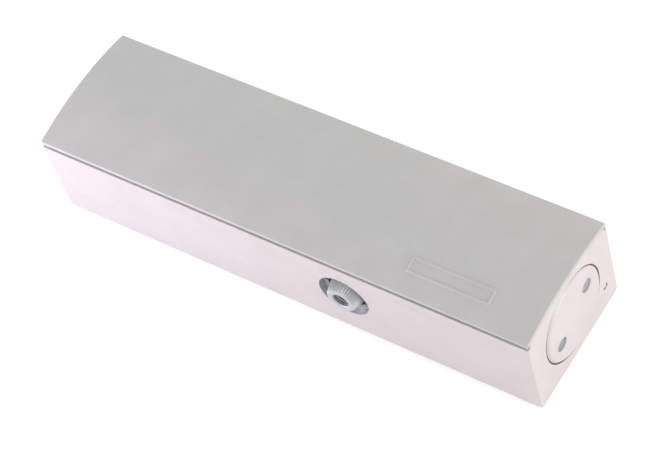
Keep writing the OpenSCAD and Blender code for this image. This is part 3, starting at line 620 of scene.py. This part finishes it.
FRONT_STEPS = 64
BORE_SEGMENTS = 128
HOUSING_SOFT = 0.25 * MM
POCKET_MOUTH = 0.4 * MM
GROMMET_RADIUS = 4 * MM
MOUNT_HOLE_RADIUS = 2.6 * MM
MOUNT_HEAD_RADIUS = 3.6 * MM
MOUNT_HEAD_DEPTH = 6 * MM
VALVE_HOLE_BELOW = 0.3 * MM  # how far the valve's hole goes below the valve's point
VALVE_PORT_RISE = 3.7 * MM  # port into the bore, above the valve's point
DUCT_DEPTH = 11.2 * MM
DUCT_RADIUS = 1.55 * MM
DUCT_PAST_PORT = 1.5 * MM
PORT_RADIUS = 1 * MM
PORT_BALL_RADIUS = 1.33 * MM
PORT_BALL_DEPTH = 2.4 * MM
RETURN_PORT_X = 55.03 * MM


def along_front(half, below=0.0):
    """Points of the crowned front from +half to -half in Y."""
    ys = [half - 2 * half * i / FRONT_STEPS for i in range(FRONT_STEPS + 1)]
    return [(y, front_z(y, below)) for y in ys]


def housing_outline():
    """Section across the housing: rounded back edges, groove and the neck under the cover."""
    r = BACK_EDGE_RADIUS
    bottom_left = arc((-half_height + r, r), r, math.pi, 1.5 * math.pi, 6)
    bottom_right = arc((half_height - r, r), r, 1.5 * math.pi, TAU, 6)
    right = [(half_height, groove_z), (neck_half, groove_z)]
    left = [(-neck_half, groove_z), (-half_height, groove_z)]
    front = along_front(neck_half, COVER_THICKNESS + COVER_GAP)
    return bottom_left + bottom_right + right + front + left


def pocket_tool(side):
    """Plug pocket at one end, with its chamfered mouth."""
    pocket = plug_radius + SEAT_PLAY
    mouth = pocket + POCKET_MOUTH
    floor = plug_lo.x
    profile = [(0, floor), (pocket, floor), (pocket, half_length - POCKET_MOUTH),
               (mouth, half_length), (mouth, half_length + OVERCUT), (0, half_length + OVERCUT)]
    return lathe("tool", [(r, side * x) for r, x in profile], (0, 0, bore_z), "x",
                 segments=BORE_SEGMENTS)


def grommet_holes():
    """The centres of the four holes for the cover's grommets."""
    r = GROMMET_RADIUS
    return [(x, y) for x in (grommet_lo.x + r, grommet_hi.x - r)
            for y in (grommet_lo.y + r, grommet_hi.y - r)]


def mounting_holes():
    """The centres of the mounting screw holes, from their pattern in the record."""
    pattern = next(m for m in frame["record"]["mounts"] if m["name"] == "mounting_screws")
    x, y, _ = pattern["pos_m"]
    dx = pattern["dims"]["spacing_x_mm"] / 2 * MM
    dy = pattern["dims"]["spacing_y_mm"] / 2 * MM
    return [(x + sx * dx, y + sy * dy) for sx in (-1, 1) for sy in (-1, 1)]


def housing_tools():
    """Every hole in the housing: bore, pockets, recess, screw and valve holes, oil ducts."""
    above = cover_hi.z
    bore_end = plug_lo.x + OVERCUT
    past_end = half_length + OVERCUT
    past_side = half_height + OVERCUT
    tools = [rod(BORE_RADIUS, -bore_end, bore_end, (0, 0, bore_z), "x", BORE_SEGMENTS)]
    tools += [pocket_tool(side) for side in (-1, 1)]
    tools.append(rod(RECESS_RADIUS, -past_side, past_side, (spindle_x, 0, spindle_z), "y"))
    tools += [rod(GROMMET_RADIUS + SEAT_PLAY, grommet_lo.z, above, (x, y, 0), "z", 48)
              for x, y in grommet_holes()]
    head_z = cover_lo.z - MOUNT_HEAD_DEPTH
    stepped = [(0, -OVERCUT), (MOUNT_HOLE_RADIUS, -OVERCUT), (MOUNT_HOLE_RADIUS, head_z),
               (MOUNT_HEAD_RADIUS, head_z), (MOUNT_HEAD_RADIUS, above), (0, above)]
    tools += [lathe("tool", stepped, (x, y, 0), "z", segments=48) for x, y in mounting_holes()]
    valve_y = (closing_lo.y + closing_hi.y) / 2
    for low, high in ((closing_lo, closing_hi), (latching_lo, latching_hi)):
        x = (low.x + high.x) / 2
        tools.append(rod(high.y - valve_y + SEAT_PLAY, low.z - VALVE_HOLE_BELOW, above,
                         (x, valve_y, 0), "z", 48))
        tools.append(rod(PORT_RADIUS, BORE_RADIUS / 2, valve_y,
                         (x, 0, low.z + VALVE_PORT_RISE), "y", 24))
        tools.append(rod(PORT_RADIUS, DUCT_DEPTH, low.z + OVERCUT, (x, valve_y, 0), "z", 24))
    tools.append(rod(DUCT_RADIUS, RETURN_PORT_X - DUCT_PAST_PORT, past_end,
                     (0, valve_y, DUCT_DEPTH), "x", 32))
    port = (RETURN_PORT_X, 0, DUCT_DEPTH)
    tools.append(rod(PORT_RADIUS, BORE_RADIUS / 2, past_side, port, "y", 24))
    tools.append(rod(PORT_BALL_RADIUS, half_height - PORT_BALL_DEPTH, past_side, port, "y", 32))
    return tools


def outside(a, b):
    """True for an edge that lies in one of the housing's outer faces."""
    planes = ((0, half_length), (0, -half_length), (1, half_height), (1, -half_height), (2, 0.0))
    if min(a.z, b.z) > groove_z + NEAR:
        return False
    return any(abs(a[i] - at) < NEAR and abs(b[i] - at) < NEAR for i, at in planes)


def make_housing():
    """The casting, with its outer edges rounded."""
    housing = extrude_body("housing_casting", housing_outline())
    combine(housing, housing_tools())
    round_edges(housing, HOUSING_SOFT, outside)
    dress(housing, "closer_body", "body_paint", ["housing"])


# ---------------- front cover

COVER_SOFT = 0.35 * MM
LIP_RADIUS = 0.3 * MM
LIP_HEIGHT = 0.6 * MM
FRAME_LENGTH = 36.4 * MM
FRAME_HEIGHT = 6.6 * MM
FRAME_LINE = 0.8 * MM
FRAME_RISE = 0.35 * MM
FRAME_ROOT = 0.3 * MM  # how deep the frame's foot is sunk in the cover
FRAME_FOOT = 0.25 * MM
FRAME_CORNER = 0.9 * MM
FRAME_LEAST_CORNER = 0.15 * MM
FRAME_END_DISTANCE = 39.4 * MM
FRAME_DROP = 17.9 * MM


def cover_outline():
    """Section across the cover: a crowned shell with rounded lips."""
    lip = LIP_RADIUS
    inner_half = half_height - COVER_THICKNESS
    left = arc((-half_height + lip, cover_lo.z + lip), lip, math.pi, 1.5 * math.pi, 3)
    left.append((-inner_half, cover_lo.z))
    right = [(inner_half, cover_lo.z)]
    right += arc((half_height - lip, cover_lo.z + lip), lip, 1.5 * math.pi, TAU, 3)
    inner = along_front(inner_half, COVER_THICKNESS)[::-1]
    return along_front(half_height) + left + inner + right


def cover_edges(a, b):
    """True for the cover's long front edges and the outer edges of its open ends."""
    def on_outline(p):
        return p.z > front_z(p.y) - NEAR or abs(p.y) > half_height - NEAR

    along = all(abs(abs(p.y) - half_height) < NEAR for p in (a, b))
    end = all(abs(abs(p.x) - half_length) < NEAR and on_outline(p) for p in (a, b))
    return (along and min(a.z, b.z) > cover_lo.z + LIP_HEIGHT) or end


def make_frame_relief():
    """Plain raised frame with a soft edge that follows the crown."""
    x_mid = half_length - FRAME_END_DISTANCE
    shoulder = 0.8 * FRAME_RISE
    line, foot = FRAME_LINE, FRAME_FOOT
    section = ((foot, -FRAME_ROOT), (foot, 0.0), (0.04 * MM, shoulder), (-0.1 * MM, FRAME_RISE),
               (-line + 0.1 * MM, FRAME_RISE), (-line - 0.04 * MM, shoulder),
               (-line - foot, 0.0), (-line - foot, -FRAME_ROOT))
    bm = bmesh.new()
    rows = []
    for grow, rise in section:
        radius = max(FRAME_CORNER + grow, FRAME_LEAST_CORNER)
        half_x = FRAME_LENGTH / 2 + grow - radius
        half_y = FRAME_HEIGHT / 2 + grow - radius
        row = []
        for quarter, (cx, cy) in enumerate(((1, 1), (-1, 1), (-1, -1), (1, -1))):
            centre = (x_mid + cx * half_x, -FRAME_DROP + cy * half_y)
            start = quarter * math.pi / 2
            for x, y in arc(centre, radius, start, start + math.pi / 2, 5):
                row.append(bm.verts.new((x, y, front_z(y) + rise)))
        rows.append(row)
    skin_rows(bm, rows + rows[:1])
    dress(new_object("cover_frame_relief", bm), "cover", "cover_paint")


def make_cover():
    """The crowned shell and the empty frame on it."""
    cover = extrude_body("cover_shell", cover_outline())
    round_edges(cover, COVER_SOFT, cover_edges)
    dress(cover, "cover", "cover_paint", ["front_cover"])
    make_frame_relief()


# ---------------- end plugs

PLUG_CHAMFER = 1.1 * MM
PLUG_SOFT = 0.2 * MM
PLUG_BACK_CHAMFER = 0.4 * MM
PLUG_SEAL_X = plug_lo.x + 3.5 * MM
PLUG_SEAL_HALF = 1.3 * MM
PLUG_SEAL_DEPTH = 2.1 * MM
PLUG_THREAD_PITCH = 1.5 * MM
PLUG_THREAD_DEPTH = 0.6 * MM
THREAD_ROWS = 6  # rows of points to each turn of a thread
SPANNER_PITCH = 24 * MM
SPANNER_RADIUS = 3.1 * MM
SPANNER_DEPTH = 5 * MM
SPANNER_ANGLE = math.radians(26.5)
SCREW_NECK_RADIUS = 6 * MM
CLIP_POCKET_RADIUS = 8.3 * MM
CLIP_PLAY = 0.05 * MM


def thread_wave(pitch, depth, start, end):
    """Radius of a helical thread between two heights, with its crest at the given radius."""
    def wave(radius, height, angle):
        if not start <= height <= end:
            return radius
        fade = min(1.0, (height - start) / pitch, (end - height) / pitch)
        turn = (height / pitch - angle / TAU) % 1.0
        return radius - depth * max(0.0, fade) * abs(2 * turn - 1)
    return wave


def thread_profile(radius, start, end, pitch):
    """Close rows of one radius, for thread_wave to shape."""
    rows = max(2, round((end - start) / pitch * THREAD_ROWS))
    return [(radius, start + (end - start) * i / rows) for i in range(rows + 1)]


def grooved(radius, depth, start, end):
    """Profile points of a square groove."""
    return [(radius, start), (radius - depth, start), (radius - depth, end), (radius, end)]


def spanner_tools(face):
    """The two spanner holes, with drilled floors and soft mouths."""
    radius, floor = SPANNER_RADIUS, face - SPANNER_DEPTH
    mouth = radius + 0.3 * MM
    profile = [(0, floor - 0.8 * MM), (radius, floor + 0.6 * MM), (radius, face - 0.3 * MM),
               (radius + 0.12 * MM, face - 0.08 * MM), (mouth, face + 0.02 * MM),
               (mouth, face + OVERCUT), (0, face + OVERCUT)]
    tools = []
    for reach in (-SPANNER_PITCH / 2, SPANNER_PITCH / 2):
        spot = (0, reach * math.cos(SPANNER_ANGLE), reach * math.sin(SPANNER_ANGLE))
        tools.append(lathe("tool", profile, spot, "x", segments=48))
    return tools


def screw_hole_tool(face):
    """Hole for the adjusting screw's neck, and the pocket that its clip sits in."""
    neck, pocket = SCREW_NECK_RADIUS + SEAT_PLAY, CLIP_POCKET_RADIUS
    floor = -clip_hi.x - CLIP_PLAY
    mouth = pocket + 0.3 * MM
    profile = [(0, plug_lo.x - OVERCUT), (neck, plug_lo.x - OVERCUT), (neck, floor), (pocket, floor),
               (pocket, face - 0.3 * MM), (mouth, face + 0.01 * MM),
               (mouth, face + OVERCUT), (0, face + OVERCUT)]
    return lathe("tool", profile, (0, 0, 0), "x", segments=64)


def make_plug(name, side, node):
    """End plug with thread, seal groove, soft chamfer and spanner holes. The one on the negative
    side is bored for the adjusting screw."""
    radius, face, soft = plug_radius, plug_hi.x, PLUG_SOFT
    edge, rim = face - PLUG_CHAMFER, radius - PLUG_CHAMFER
    thread_start = PLUG_SEAL_X + PLUG_SEAL_HALF + 0.6 * MM
    thread_end = edge - 0.5 * MM
    profile = [(0, plug_lo.x), (radius - PLUG_BACK_CHAMFER, plug_lo.x),
               (radius, plug_lo.x + PLUG_BACK_CHAMFER)]
    profile += grooved(radius, PLUG_SEAL_DEPTH, PLUG_SEAL_X - PLUG_SEAL_HALF,
                       PLUG_SEAL_X + PLUG_SEAL_HALF)
    profile += thread_profile(radius, thread_start, thread_end, PLUG_THREAD_PITCH)
    profile += [(radius, edge - soft), (radius - 0.3 * soft, edge + 0.4 * soft),
                (rim + soft, face - soft), (rim, face - 0.25 * soft), (rim - soft, face), (0, face)]
    wave = thread_wave(PLUG_THREAD_PITCH, PLUG_THREAD_DEPTH, thread_start, thread_end)
    plug = lathe(name, profile, (0, 0, 0), "x", segments=160, wave=wave)
    tools = spanner_tools(face)
    if side < 0:
        tools.append(screw_hole_tool(face))
    combine(plug, tools)
    mirror_and_move(plug, side, (1, 0, 0), (0, 0, bore_z))
    dress(plug, "closer_body", "body_paint", [node])


# ---------------- spindle

TAPER_END_RADIUS = 6.3 * MM
SERRATION_RADIUS = 7.9 * MM
SERRATION_DEPTH = 0.45 * MM
SERRATIONS = 36
SERRATION_STEPS = 6
TAPER_BASE = ring_hi.y - 0.6 * MM
TAPER_CHAMFER = 0.35 * MM
TAPER_STATIONS = 3
JOURNAL_START = 12.4 * MM  # just inside the gear's end face, so that the two overlap
HOLE_DEPTH = 16 * MM
HOLE_PITCH = 1.25 * MM
HOLE_THREAD_DEPTH = 0.5 * MM


def serrated(radius, angle):
    """Radius with the serrations' flat crests and valleys cut into it."""
    phase = abs((angle / TAU * SERRATIONS) % 1.0 * 2 - 1)
    tooth = min(1.0, max(0.0, (phase - 0.12) / 0.76))
    return radius - SERRATION_DEPTH * (1 - tooth)


def spindle_end(side):
    """One serrated end with its tapped hole, from the pinion's shoulder outwards."""
    tip, chamfer, start = pinion_hi.y, TAPER_CHAMFER, JOURNAL_START
    hole_floor = tip - HOLE_DEPTH
    hole_start = hole_floor + MM
    hole_end = tip - 0.5 * MM
    slope = (SERRATION_RADIUS - TAPER_END_RADIUS) / (tip - TAPER_BASE)

    def taper(height):
        return SERRATION_RADIUS - slope * (height - TAPER_BASE)

    flank = [TAPER_BASE + (tip - chamfer - TAPER_BASE) * i / TAPER_STATIONS
             for i in range(TAPER_STATIONS + 1)]
    profile = [(0, start), (JOURNAL_RADIUS, start), (JOURNAL_RADIUS, TAPER_BASE - 0.7 * MM),
               (JOURNAL_RADIUS, TAPER_BASE - 0.5 * MM),
               (JOURNAL_RADIUS - 0.05 * MM, TAPER_BASE - 0.35 * MM)]
    profile += [(taper(height), height) for height in flank]
    profile += [(taper(tip) - chamfer * 0.5, tip - 0.12 * MM),
                (taper(tip) - chamfer - 0.1 * MM, tip),
                (HOLE_RADIUS + 0.75 * MM, tip), (HOLE_RADIUS + 0.55 * MM, tip - 0.08 * MM),
                (HOLE_RADIUS + 0.1 * MM, hole_end)]
    profile += thread_profile(HOLE_RADIUS, hole_start, hole_end, HOLE_PITCH)[::-1]
    profile += [(HOLE_RADIUS, hole_floor), (0, hole_floor - 1.9 * MM)]
    thread = thread_wave(HOLE_PITCH, -HOLE_THREAD_DEPTH, hole_start, hole_end)

    def wave(radius, height, angle):
        if abs(radius - HOLE_RADIUS) < NEAR:
            return thread(radius, height, angle)
        if radius > TAPER_END_RADIUS - 0.2 * MM and height > TAPER_BASE - 0.1 * MM:
            return serrated(radius, angle)
        return radius

    end = lathe("spindle_end", profile, (0, 0, 0), "y", wave=wave,
                segments=SERRATIONS * SERRATION_STEPS)
    mirror_and_move(end, side, (0, 1, 0), (spindle_x, 0, spindle_z))
    return end


TOOTH_MODULE = 1.5 * MM
PINION_TEETH = 12
PRESSURE_ANGLE = math.radians(25)
BACKLASH = 0.2 * MM
TOOTH_HALF_WIDTH = 12.7 * MM
TOOTH_CHAMFER = 0.5 * MM
FLANK_STEPS = 8


def pinion_gear():
    """The toothed middle of the spindle, with chamfered tooth ends."""
    pitch = TOOTH_MODULE * PINION_TEETH / 2
    tip, root = pitch + TOOTH_MODULE, pitch - 1.25 * TOOTH_MODULE
    base = pitch * math.cos(PRESSURE_ANGLE)

    def involute(angle):
        return math.tan(angle) - angle

    def half_angle(radius):
        at = math.acos(min(1.0, base / max(radius, base)))
        at_pitch = (math.pi * TOOTH_MODULE - BACKLASH) / 4 / pitch
        return at_pitch + involute(PRESSURE_ANGLE) - involute(at)

    radii = [root] + [base + (tip - base) * i / FLANK_STEPS for i in range(FLANK_STEPS + 1)]

    def outline(shrink):
        points = []
        for k in range(PINION_TEETH):
            middle = math.pi / 2 + (k + 0.5) * TAU / PINION_TEETH
            for sign, ordered in ((-1, radii), (1, radii[::-1])):
                for radius in ordered:
                    angle = middle + sign * half_angle(radius)
                    r = min(radius, tip - shrink)
                    points.append((r * math.cos(angle), r * math.sin(angle)))
        return points

    bm = bmesh.new()
    rows = []
    half, chamfer = TOOTH_HALF_WIDTH, TOOTH_CHAMFER
    for y, shrink in ((-half, chamfer), (-half + chamfer, 0.0),
                      (half - chamfer, 0.0), (half, chamfer)):
        rows.append([bm.verts.new((spindle_x + x, y, spindle_z + z)) for x, z in outline(shrink)])
    skin_rows(bm, rows)
    bm.faces.new(rows[0])
    bm.faces.new(rows[-1])
    return new_object("spindle", bm)


def make_spindle():
    """The gear with a serrated end joined to each side of it."""
    spindle = pinion_gear()
    combine(spindle, [spindle_end(-1), spindle_end(1)], "UNION")
    dress(spindle, "pinion", "spindle_steel", ["pinion_shaft"])


RING_SOFT = 0.2 * MM
RING_SLOT_WIDTH = 2.4 * MM
RING_SLOT_DEPTH = 1.1 * MM
RING_CUT_WIDTH = 0.7 * MM
RING_RIB_DROP = 0.35 * MM
RING_SLOT_ANGLE = math.radians(155)
RING_HOLE_RADIUS = JOURNAL_RADIUS + 0.4 * MM


def make_ring(side, name):
    """Ring round the spindle with broken edges and one slot across it, which has a low rib."""
    soft, hole = RING_SOFT, RING_HOLE_RADIUS
    outer = (ring_hi.x - ring_lo.x) / 2
    profile = [(hole, ring_lo.y + soft), (hole + soft, ring_lo.y),
               (outer - soft, ring_lo.y), (outer, ring_lo.y + soft), (outer, ring_hi.y - soft),
               (outer - soft, ring_hi.y), (hole + soft, ring_hi.y), (hole, ring_hi.y - soft)]
    ring = lathe(name + "_slotted_ring", profile, (0, 0, 0), "y", closed=True)
    edge = (RING_SLOT_WIDTH - RING_CUT_WIDTH) / 2
    tools = []
    for shift, width, depth in ((0, RING_SLOT_WIDTH, RING_RIB_DROP),
                                (edge, RING_CUT_WIDTH, RING_SLOT_DEPTH),
                                (-edge, RING_CUT_WIDTH, RING_SLOT_DEPTH)):
        tool = box_tool((3 * outer, 2 * depth, width), (0, 0, shift))
        tool.data.transform(Matrix.Rotation(-RING_SLOT_ANGLE, 4, "Y"))
        tool.data.transform(Matrix.Translation((0, ring_hi.y, 0)))
        tools.append(tool)
    combine(ring, tools)
    mirror_and_move(ring, side, (0, 1, 0), (spindle_x, 0, spindle_z))
    dress(ring, "closer_body", "ring_steel", [name + "_bearing_ring"])


# ---------------- springs

CLOSED_TURNS = 1
ACTIVE_TURNS = 6
CLOSED_PITCH = 5.6 * MM
SPRING_WIRE_RADIUS = 2.75 * MM
RELIEF_WIRE_RADIUS = 0.4 * MM
RELIEF_TURNS = 5


def travel(joint):
    """Upper limit of a sliding joint."""
    joints = frame["record"]["behaviour"]["joints"]
    return next(j for j in joints if j["name"] == joint)["range_m"][1]


def coil(name, rise, turns, mean_radius, wire_radius, centre, sides=16, per_turn=48):
    """Round wire about an axis along X, from the first to the last of the turns given. rise
    gives the place along X at each turn."""
    first, last = turns
    rings = max(2, round((last - first) * per_turn))
    bm = bmesh.new()
    rows = []
    for k in range(rings + 1):
        turn = first + (last - first) * k / rings
        angle = TAU * turn
        row = []
        for s in range(sides):
            around = TAU * s / sides
            radius = mean_radius + wire_radius * math.cos(around)
            row.append(bm.verts.new((rise(turn) + wire_radius * math.sin(around),
                                     centre[0] + radius * math.cos(angle),
                                     centre[1] + radius * math.sin(angle))))
        rows.append(row)
    skin_rows(bm, rows)
    bm.faces.new(rows[0])
    bm.faces.new(rows[-1])
    return new_object(name, bm)


def make_closing_spring():
    """The closing spring in two pieces, which meet at the place that keeps still when the plate
    and the piston both travel to their limits."""
    start = spring_lo.x + SPRING_WIRE_RADIUS
    end = spring_hi.x - SPRING_WIRE_RADIUS
    pitch = (end - start - 2 * CLOSED_TURNS * CLOSED_PITCH) / ACTIVE_TURNS

    def rise(turn):
        active = min(max(turn - CLOSED_TURNS, 0), ACTIVE_TURNS)
        return start + active * pitch + (turn - active) * CLOSED_PITCH

    length = spring_hi.x - spring_lo.x
    shortening = travel("spring_plate_travel") + travel("piston_travel")
    split = spring_lo.x + travel("spring_plate_travel") / shortening * length
    split_turn = CLOSED_TURNS + (split - start - CLOSED_TURNS * CLOSED_PITCH) / pitch
    mean_radius = spring_hi.y - SPRING_WIRE_RADIUS
    last = ACTIVE_TURNS + 2 * CLOSED_TURNS
    for name, turns, joint in (("closing_spring_plate_end", (0, split_turn), "spring_plate_travel"),
                               ("closing_spring_piston_end", (split_turn, last), "piston_travel")):
        piece = coil(name, rise, turns, mean_radius, SPRING_WIRE_RADIUS, (0, bore_z))
        dress(piece, "closer_body", "spring_steel", ["closing_spring"])
        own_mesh(piece)


def make_relief_spring():
    """The relief valve's spring, which the ball shortens as it lifts."""
    low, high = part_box("relief_spring")
    wire, turns = RELIEF_WIRE_RADIUS, RELIEF_TURNS
    centre = ((low.y + high.y) / 2, bore_z)
    length = high.x - low.x

    def rise(turn):
        return low.x + wire + (length - 2 * wire) * turn / turns

    piece = coil("relief_coil", rise, (0, turns), (high.y - low.y) / 2 - wire, wire, centre, 8, 32)
    dress(piece, "piston", "spring_steel", ["relief_spring"])
    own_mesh(piece)


# ---------------- screws

VALVE_RADIUS = 3 * MM
VALVE_STEM_RADIUS = 1.8 * MM
VALVE_THREAD_LENGTH = 16 * MM
VALVE_SEAL_HEIGHT = 3 * MM
VALVE_SEAL_HALF = 0.9 * MM
VALVE_SEAL_DEPTH = 1 * MM
VALVE_THREAD_PITCH = 0.75 * MM
VALVE_THREAD_DEPTH = 0.35 * MM
VALVE_POINT = (0.5 * MM, 1.2 * MM)  # radius of the tip and length of the cone
VALVE_SLOT = (0.9 * MM, 1.2 * MM)  # width and depth
VALVE_SOFT = 0.3 * MM


def make_valve(name, low, high):
    """Needle valve screw: slotted head, thread, seal groove and pointed stem."""
    radius, soft = VALVE_RADIUS, VALVE_SOFT
    x, y = (low.x + high.x) / 2, (low.y + high.y) / 2
    thread_z = high.z - VALVE_THREAD_LENGTH
    seal_z = thread_z + VALVE_SEAL_HEIGHT
    start = seal_z + VALVE_SEAL_HALF + soft
    end = high.z - 2 * soft
    tip, cone = VALVE_POINT
    profile = [(0, low.z), (tip, low.z), (VALVE_STEM_RADIUS, low.z + cone),
               (VALVE_STEM_RADIUS, thread_z), (radius - soft, thread_z), (radius, thread_z + soft)]
    profile += grooved(radius, VALVE_SEAL_DEPTH, seal_z - VALVE_SEAL_HALF, seal_z + VALVE_SEAL_HALF)
    profile += thread_profile(radius, start, end, VALVE_THREAD_PITCH)
    profile += [(radius, high.z - soft), (radius - soft, high.z), (0, high.z)]
    wave = thread_wave(VALVE_THREAD_PITCH, VALVE_THREAD_DEPTH, start, end)
    screw = lathe(name + "_screw", profile, (x, y, 0), "z", segments=48, wave=wave)
    width, depth = VALVE_SLOT
    combine(screw, [box_tool((3 * radius, width, 2 * depth), (x, y, high.z))])
    dress(screw, name, "brass", [name])


SCREW_COLLAR_RADIUS = 8 * MM
SCREW_COLLAR = 2.4 * MM
SCREW_THREAD_RADIUS = 5 * MM
SCREW_THREAD_LENGTH = 26 * MM
SCREW_THREAD_PITCH = 2 * MM
SCREW_THREAD_DEPTH = 0.8 * MM
SCREW_SOFT = 0.35 * MM
SCREW_SEAL_HALF = 1.1 * MM
SCREW_SEAL_DEPTH = 1.3 * MM
CLIP_GROOVE = 0.8 * MM
HEX_SOCKET = 6 * MM
HEX_DEPTH = 5 * MM


def hex_socket_tools(face):
    """Hexagon socket with a drilled floor, and the chamfer at its mouth."""
    across = HEX_SOCKET / 2 / math.cos(math.pi / 6)
    floor = face + HEX_DEPTH
    socket = [(0, floor + 1.5 * MM), (across, floor), (across, face - OVERCUT), (0, face - OVERCUT)]
    mouth = [(0, face + 0.6 * MM), (across - 0.35 * MM, face + 0.6 * MM),
             (across + 0.3 * MM, face - 0.05 * MM), (0, face - 0.05 * MM)]
    return [lathe("tool", profile, (0, 0, bore_z), "x", segments=segments)
            for profile, segments in ((socket, 6), (mouth, 48))]


def make_adjusting_screw():
    """Adjusting screw: hexagon socket, clip groove, seal groove, thrust collar and thread."""
    seal_lo, seal_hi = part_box("adjusting_screw_seal")
    seal_x = (seal_lo.x + seal_hi.x) / 2
    face, tip = screw_lo.x, screw_hi.x
    collar_end = tip - SCREW_THREAD_LENGTH
    collar = collar_end - SCREW_COLLAR
    neck, rim, thread, soft = SCREW_NECK_RADIUS, SCREW_COLLAR_RADIUS, SCREW_THREAD_RADIUS, SCREW_SOFT
    start, end = collar_end + 1.5 * MM, tip - 0.8 * MM
    profile = [(0, face), (neck - soft, face), (neck, face + soft)]
    profile += grooved(neck, CLIP_GROOVE, clip_lo.x - CLIP_PLAY, clip_hi.x + CLIP_PLAY)
    profile += grooved(neck, SCREW_SEAL_DEPTH, seal_x - SCREW_SEAL_HALF, seal_x + SCREW_SEAL_HALF)
    profile += [(neck, collar), (rim - soft, collar), (rim, collar + soft),
                (rim, collar_end - soft), (rim - soft, collar_end), (thread, collar_end)]
    profile += thread_profile(thread, start, end, SCREW_THREAD_PITCH)
    profile += [(thread - 0.6 * MM, tip - 0.2 * MM), (thread - 1.0 * MM, tip), (0, tip)]
    wave = thread_wave(SCREW_THREAD_PITCH, SCREW_THREAD_DEPTH, start, end)
    screw = lathe("adjusting_screw_body", profile, (0, 0, bore_z), "x", wave=wave)
    combine(screw, hex_socket_tools(face))
    dress(screw, "adjuster", "bare_steel", ["adjusting_screw"])


# ---------------- pieces that keep their CAD shape

SOFT_EDGES = {
    "piston": 0.4 * MM, "spring_plate": 0.4 * MM, "check_valve_retainer": 0.15 * MM,
    "relief_screw": 0.12 * MM, "adjusting_screw_clip": 0.12 * MM, "cover_studs": 0.12 * MM,
    "stud_grommets": 0.2 * MM, "lower_bearing_cup": 0.15 * MM, "upper_bearing_cup": 0.15 * MM,
    "lower_bearing_needles": 0.15 * MM, "upper_bearing_needles": 0.15 * MM,
    "lower_shaft_seal": 0.15 * MM, "upper_shaft_seal": 0.15 * MM,
}


def soften(node, width):
    """Rounds a CAD node's edges with modifiers, which leave its own mesh as it is."""
    weld = node.modifiers.new("weld", "WELD")
    weld.merge_threshold = WELD_DISTANCE
    bevel = node.modifiers.new("soft_edges", "BEVEL")
    bevel.width = width
    bevel.segments = 2
    bevel.limit_method = "ANGLE"
    bevel.angle_limit = SOFT_ANGLE
    bevel.harden_normals = True


def dress_cad_nodes():
    """Every CAD node that still shows gets its slot's material."""
    slots = {entry["node"]: entry["material_slot"] for entry in frame["record"]["subparts"]}
    for name, node in frame["nodes"].items():
        node.data.materials.clear()
        node.data.materials.append(MATERIALS[slots[name]])
        if name in SOFT_EDGES:
            soften(node, SOFT_EDGES[name])


# ---------------- everything in its order

make_camera()
for softbox in SOFTBOXES:
    make_softbox(*softbox)
make_backdrop()
make_floor(floor_material())
dress_cad_nodes()
make_housing()
make_cover()
make_plug("damping_plug", 1, "damping_end_plug")
make_plug("spring_plug", -1, "spring_end_plug")
make_spindle()
make_ring(-1, "lower")
make_ring(1, "upper")
make_closing_spring()
make_relief_spring()
make_valve("closing_speed_valve", closing_lo, closing_hi)
make_valve("latching_speed_valve", latching_lo, latching_hi)
make_adjusting_screw()
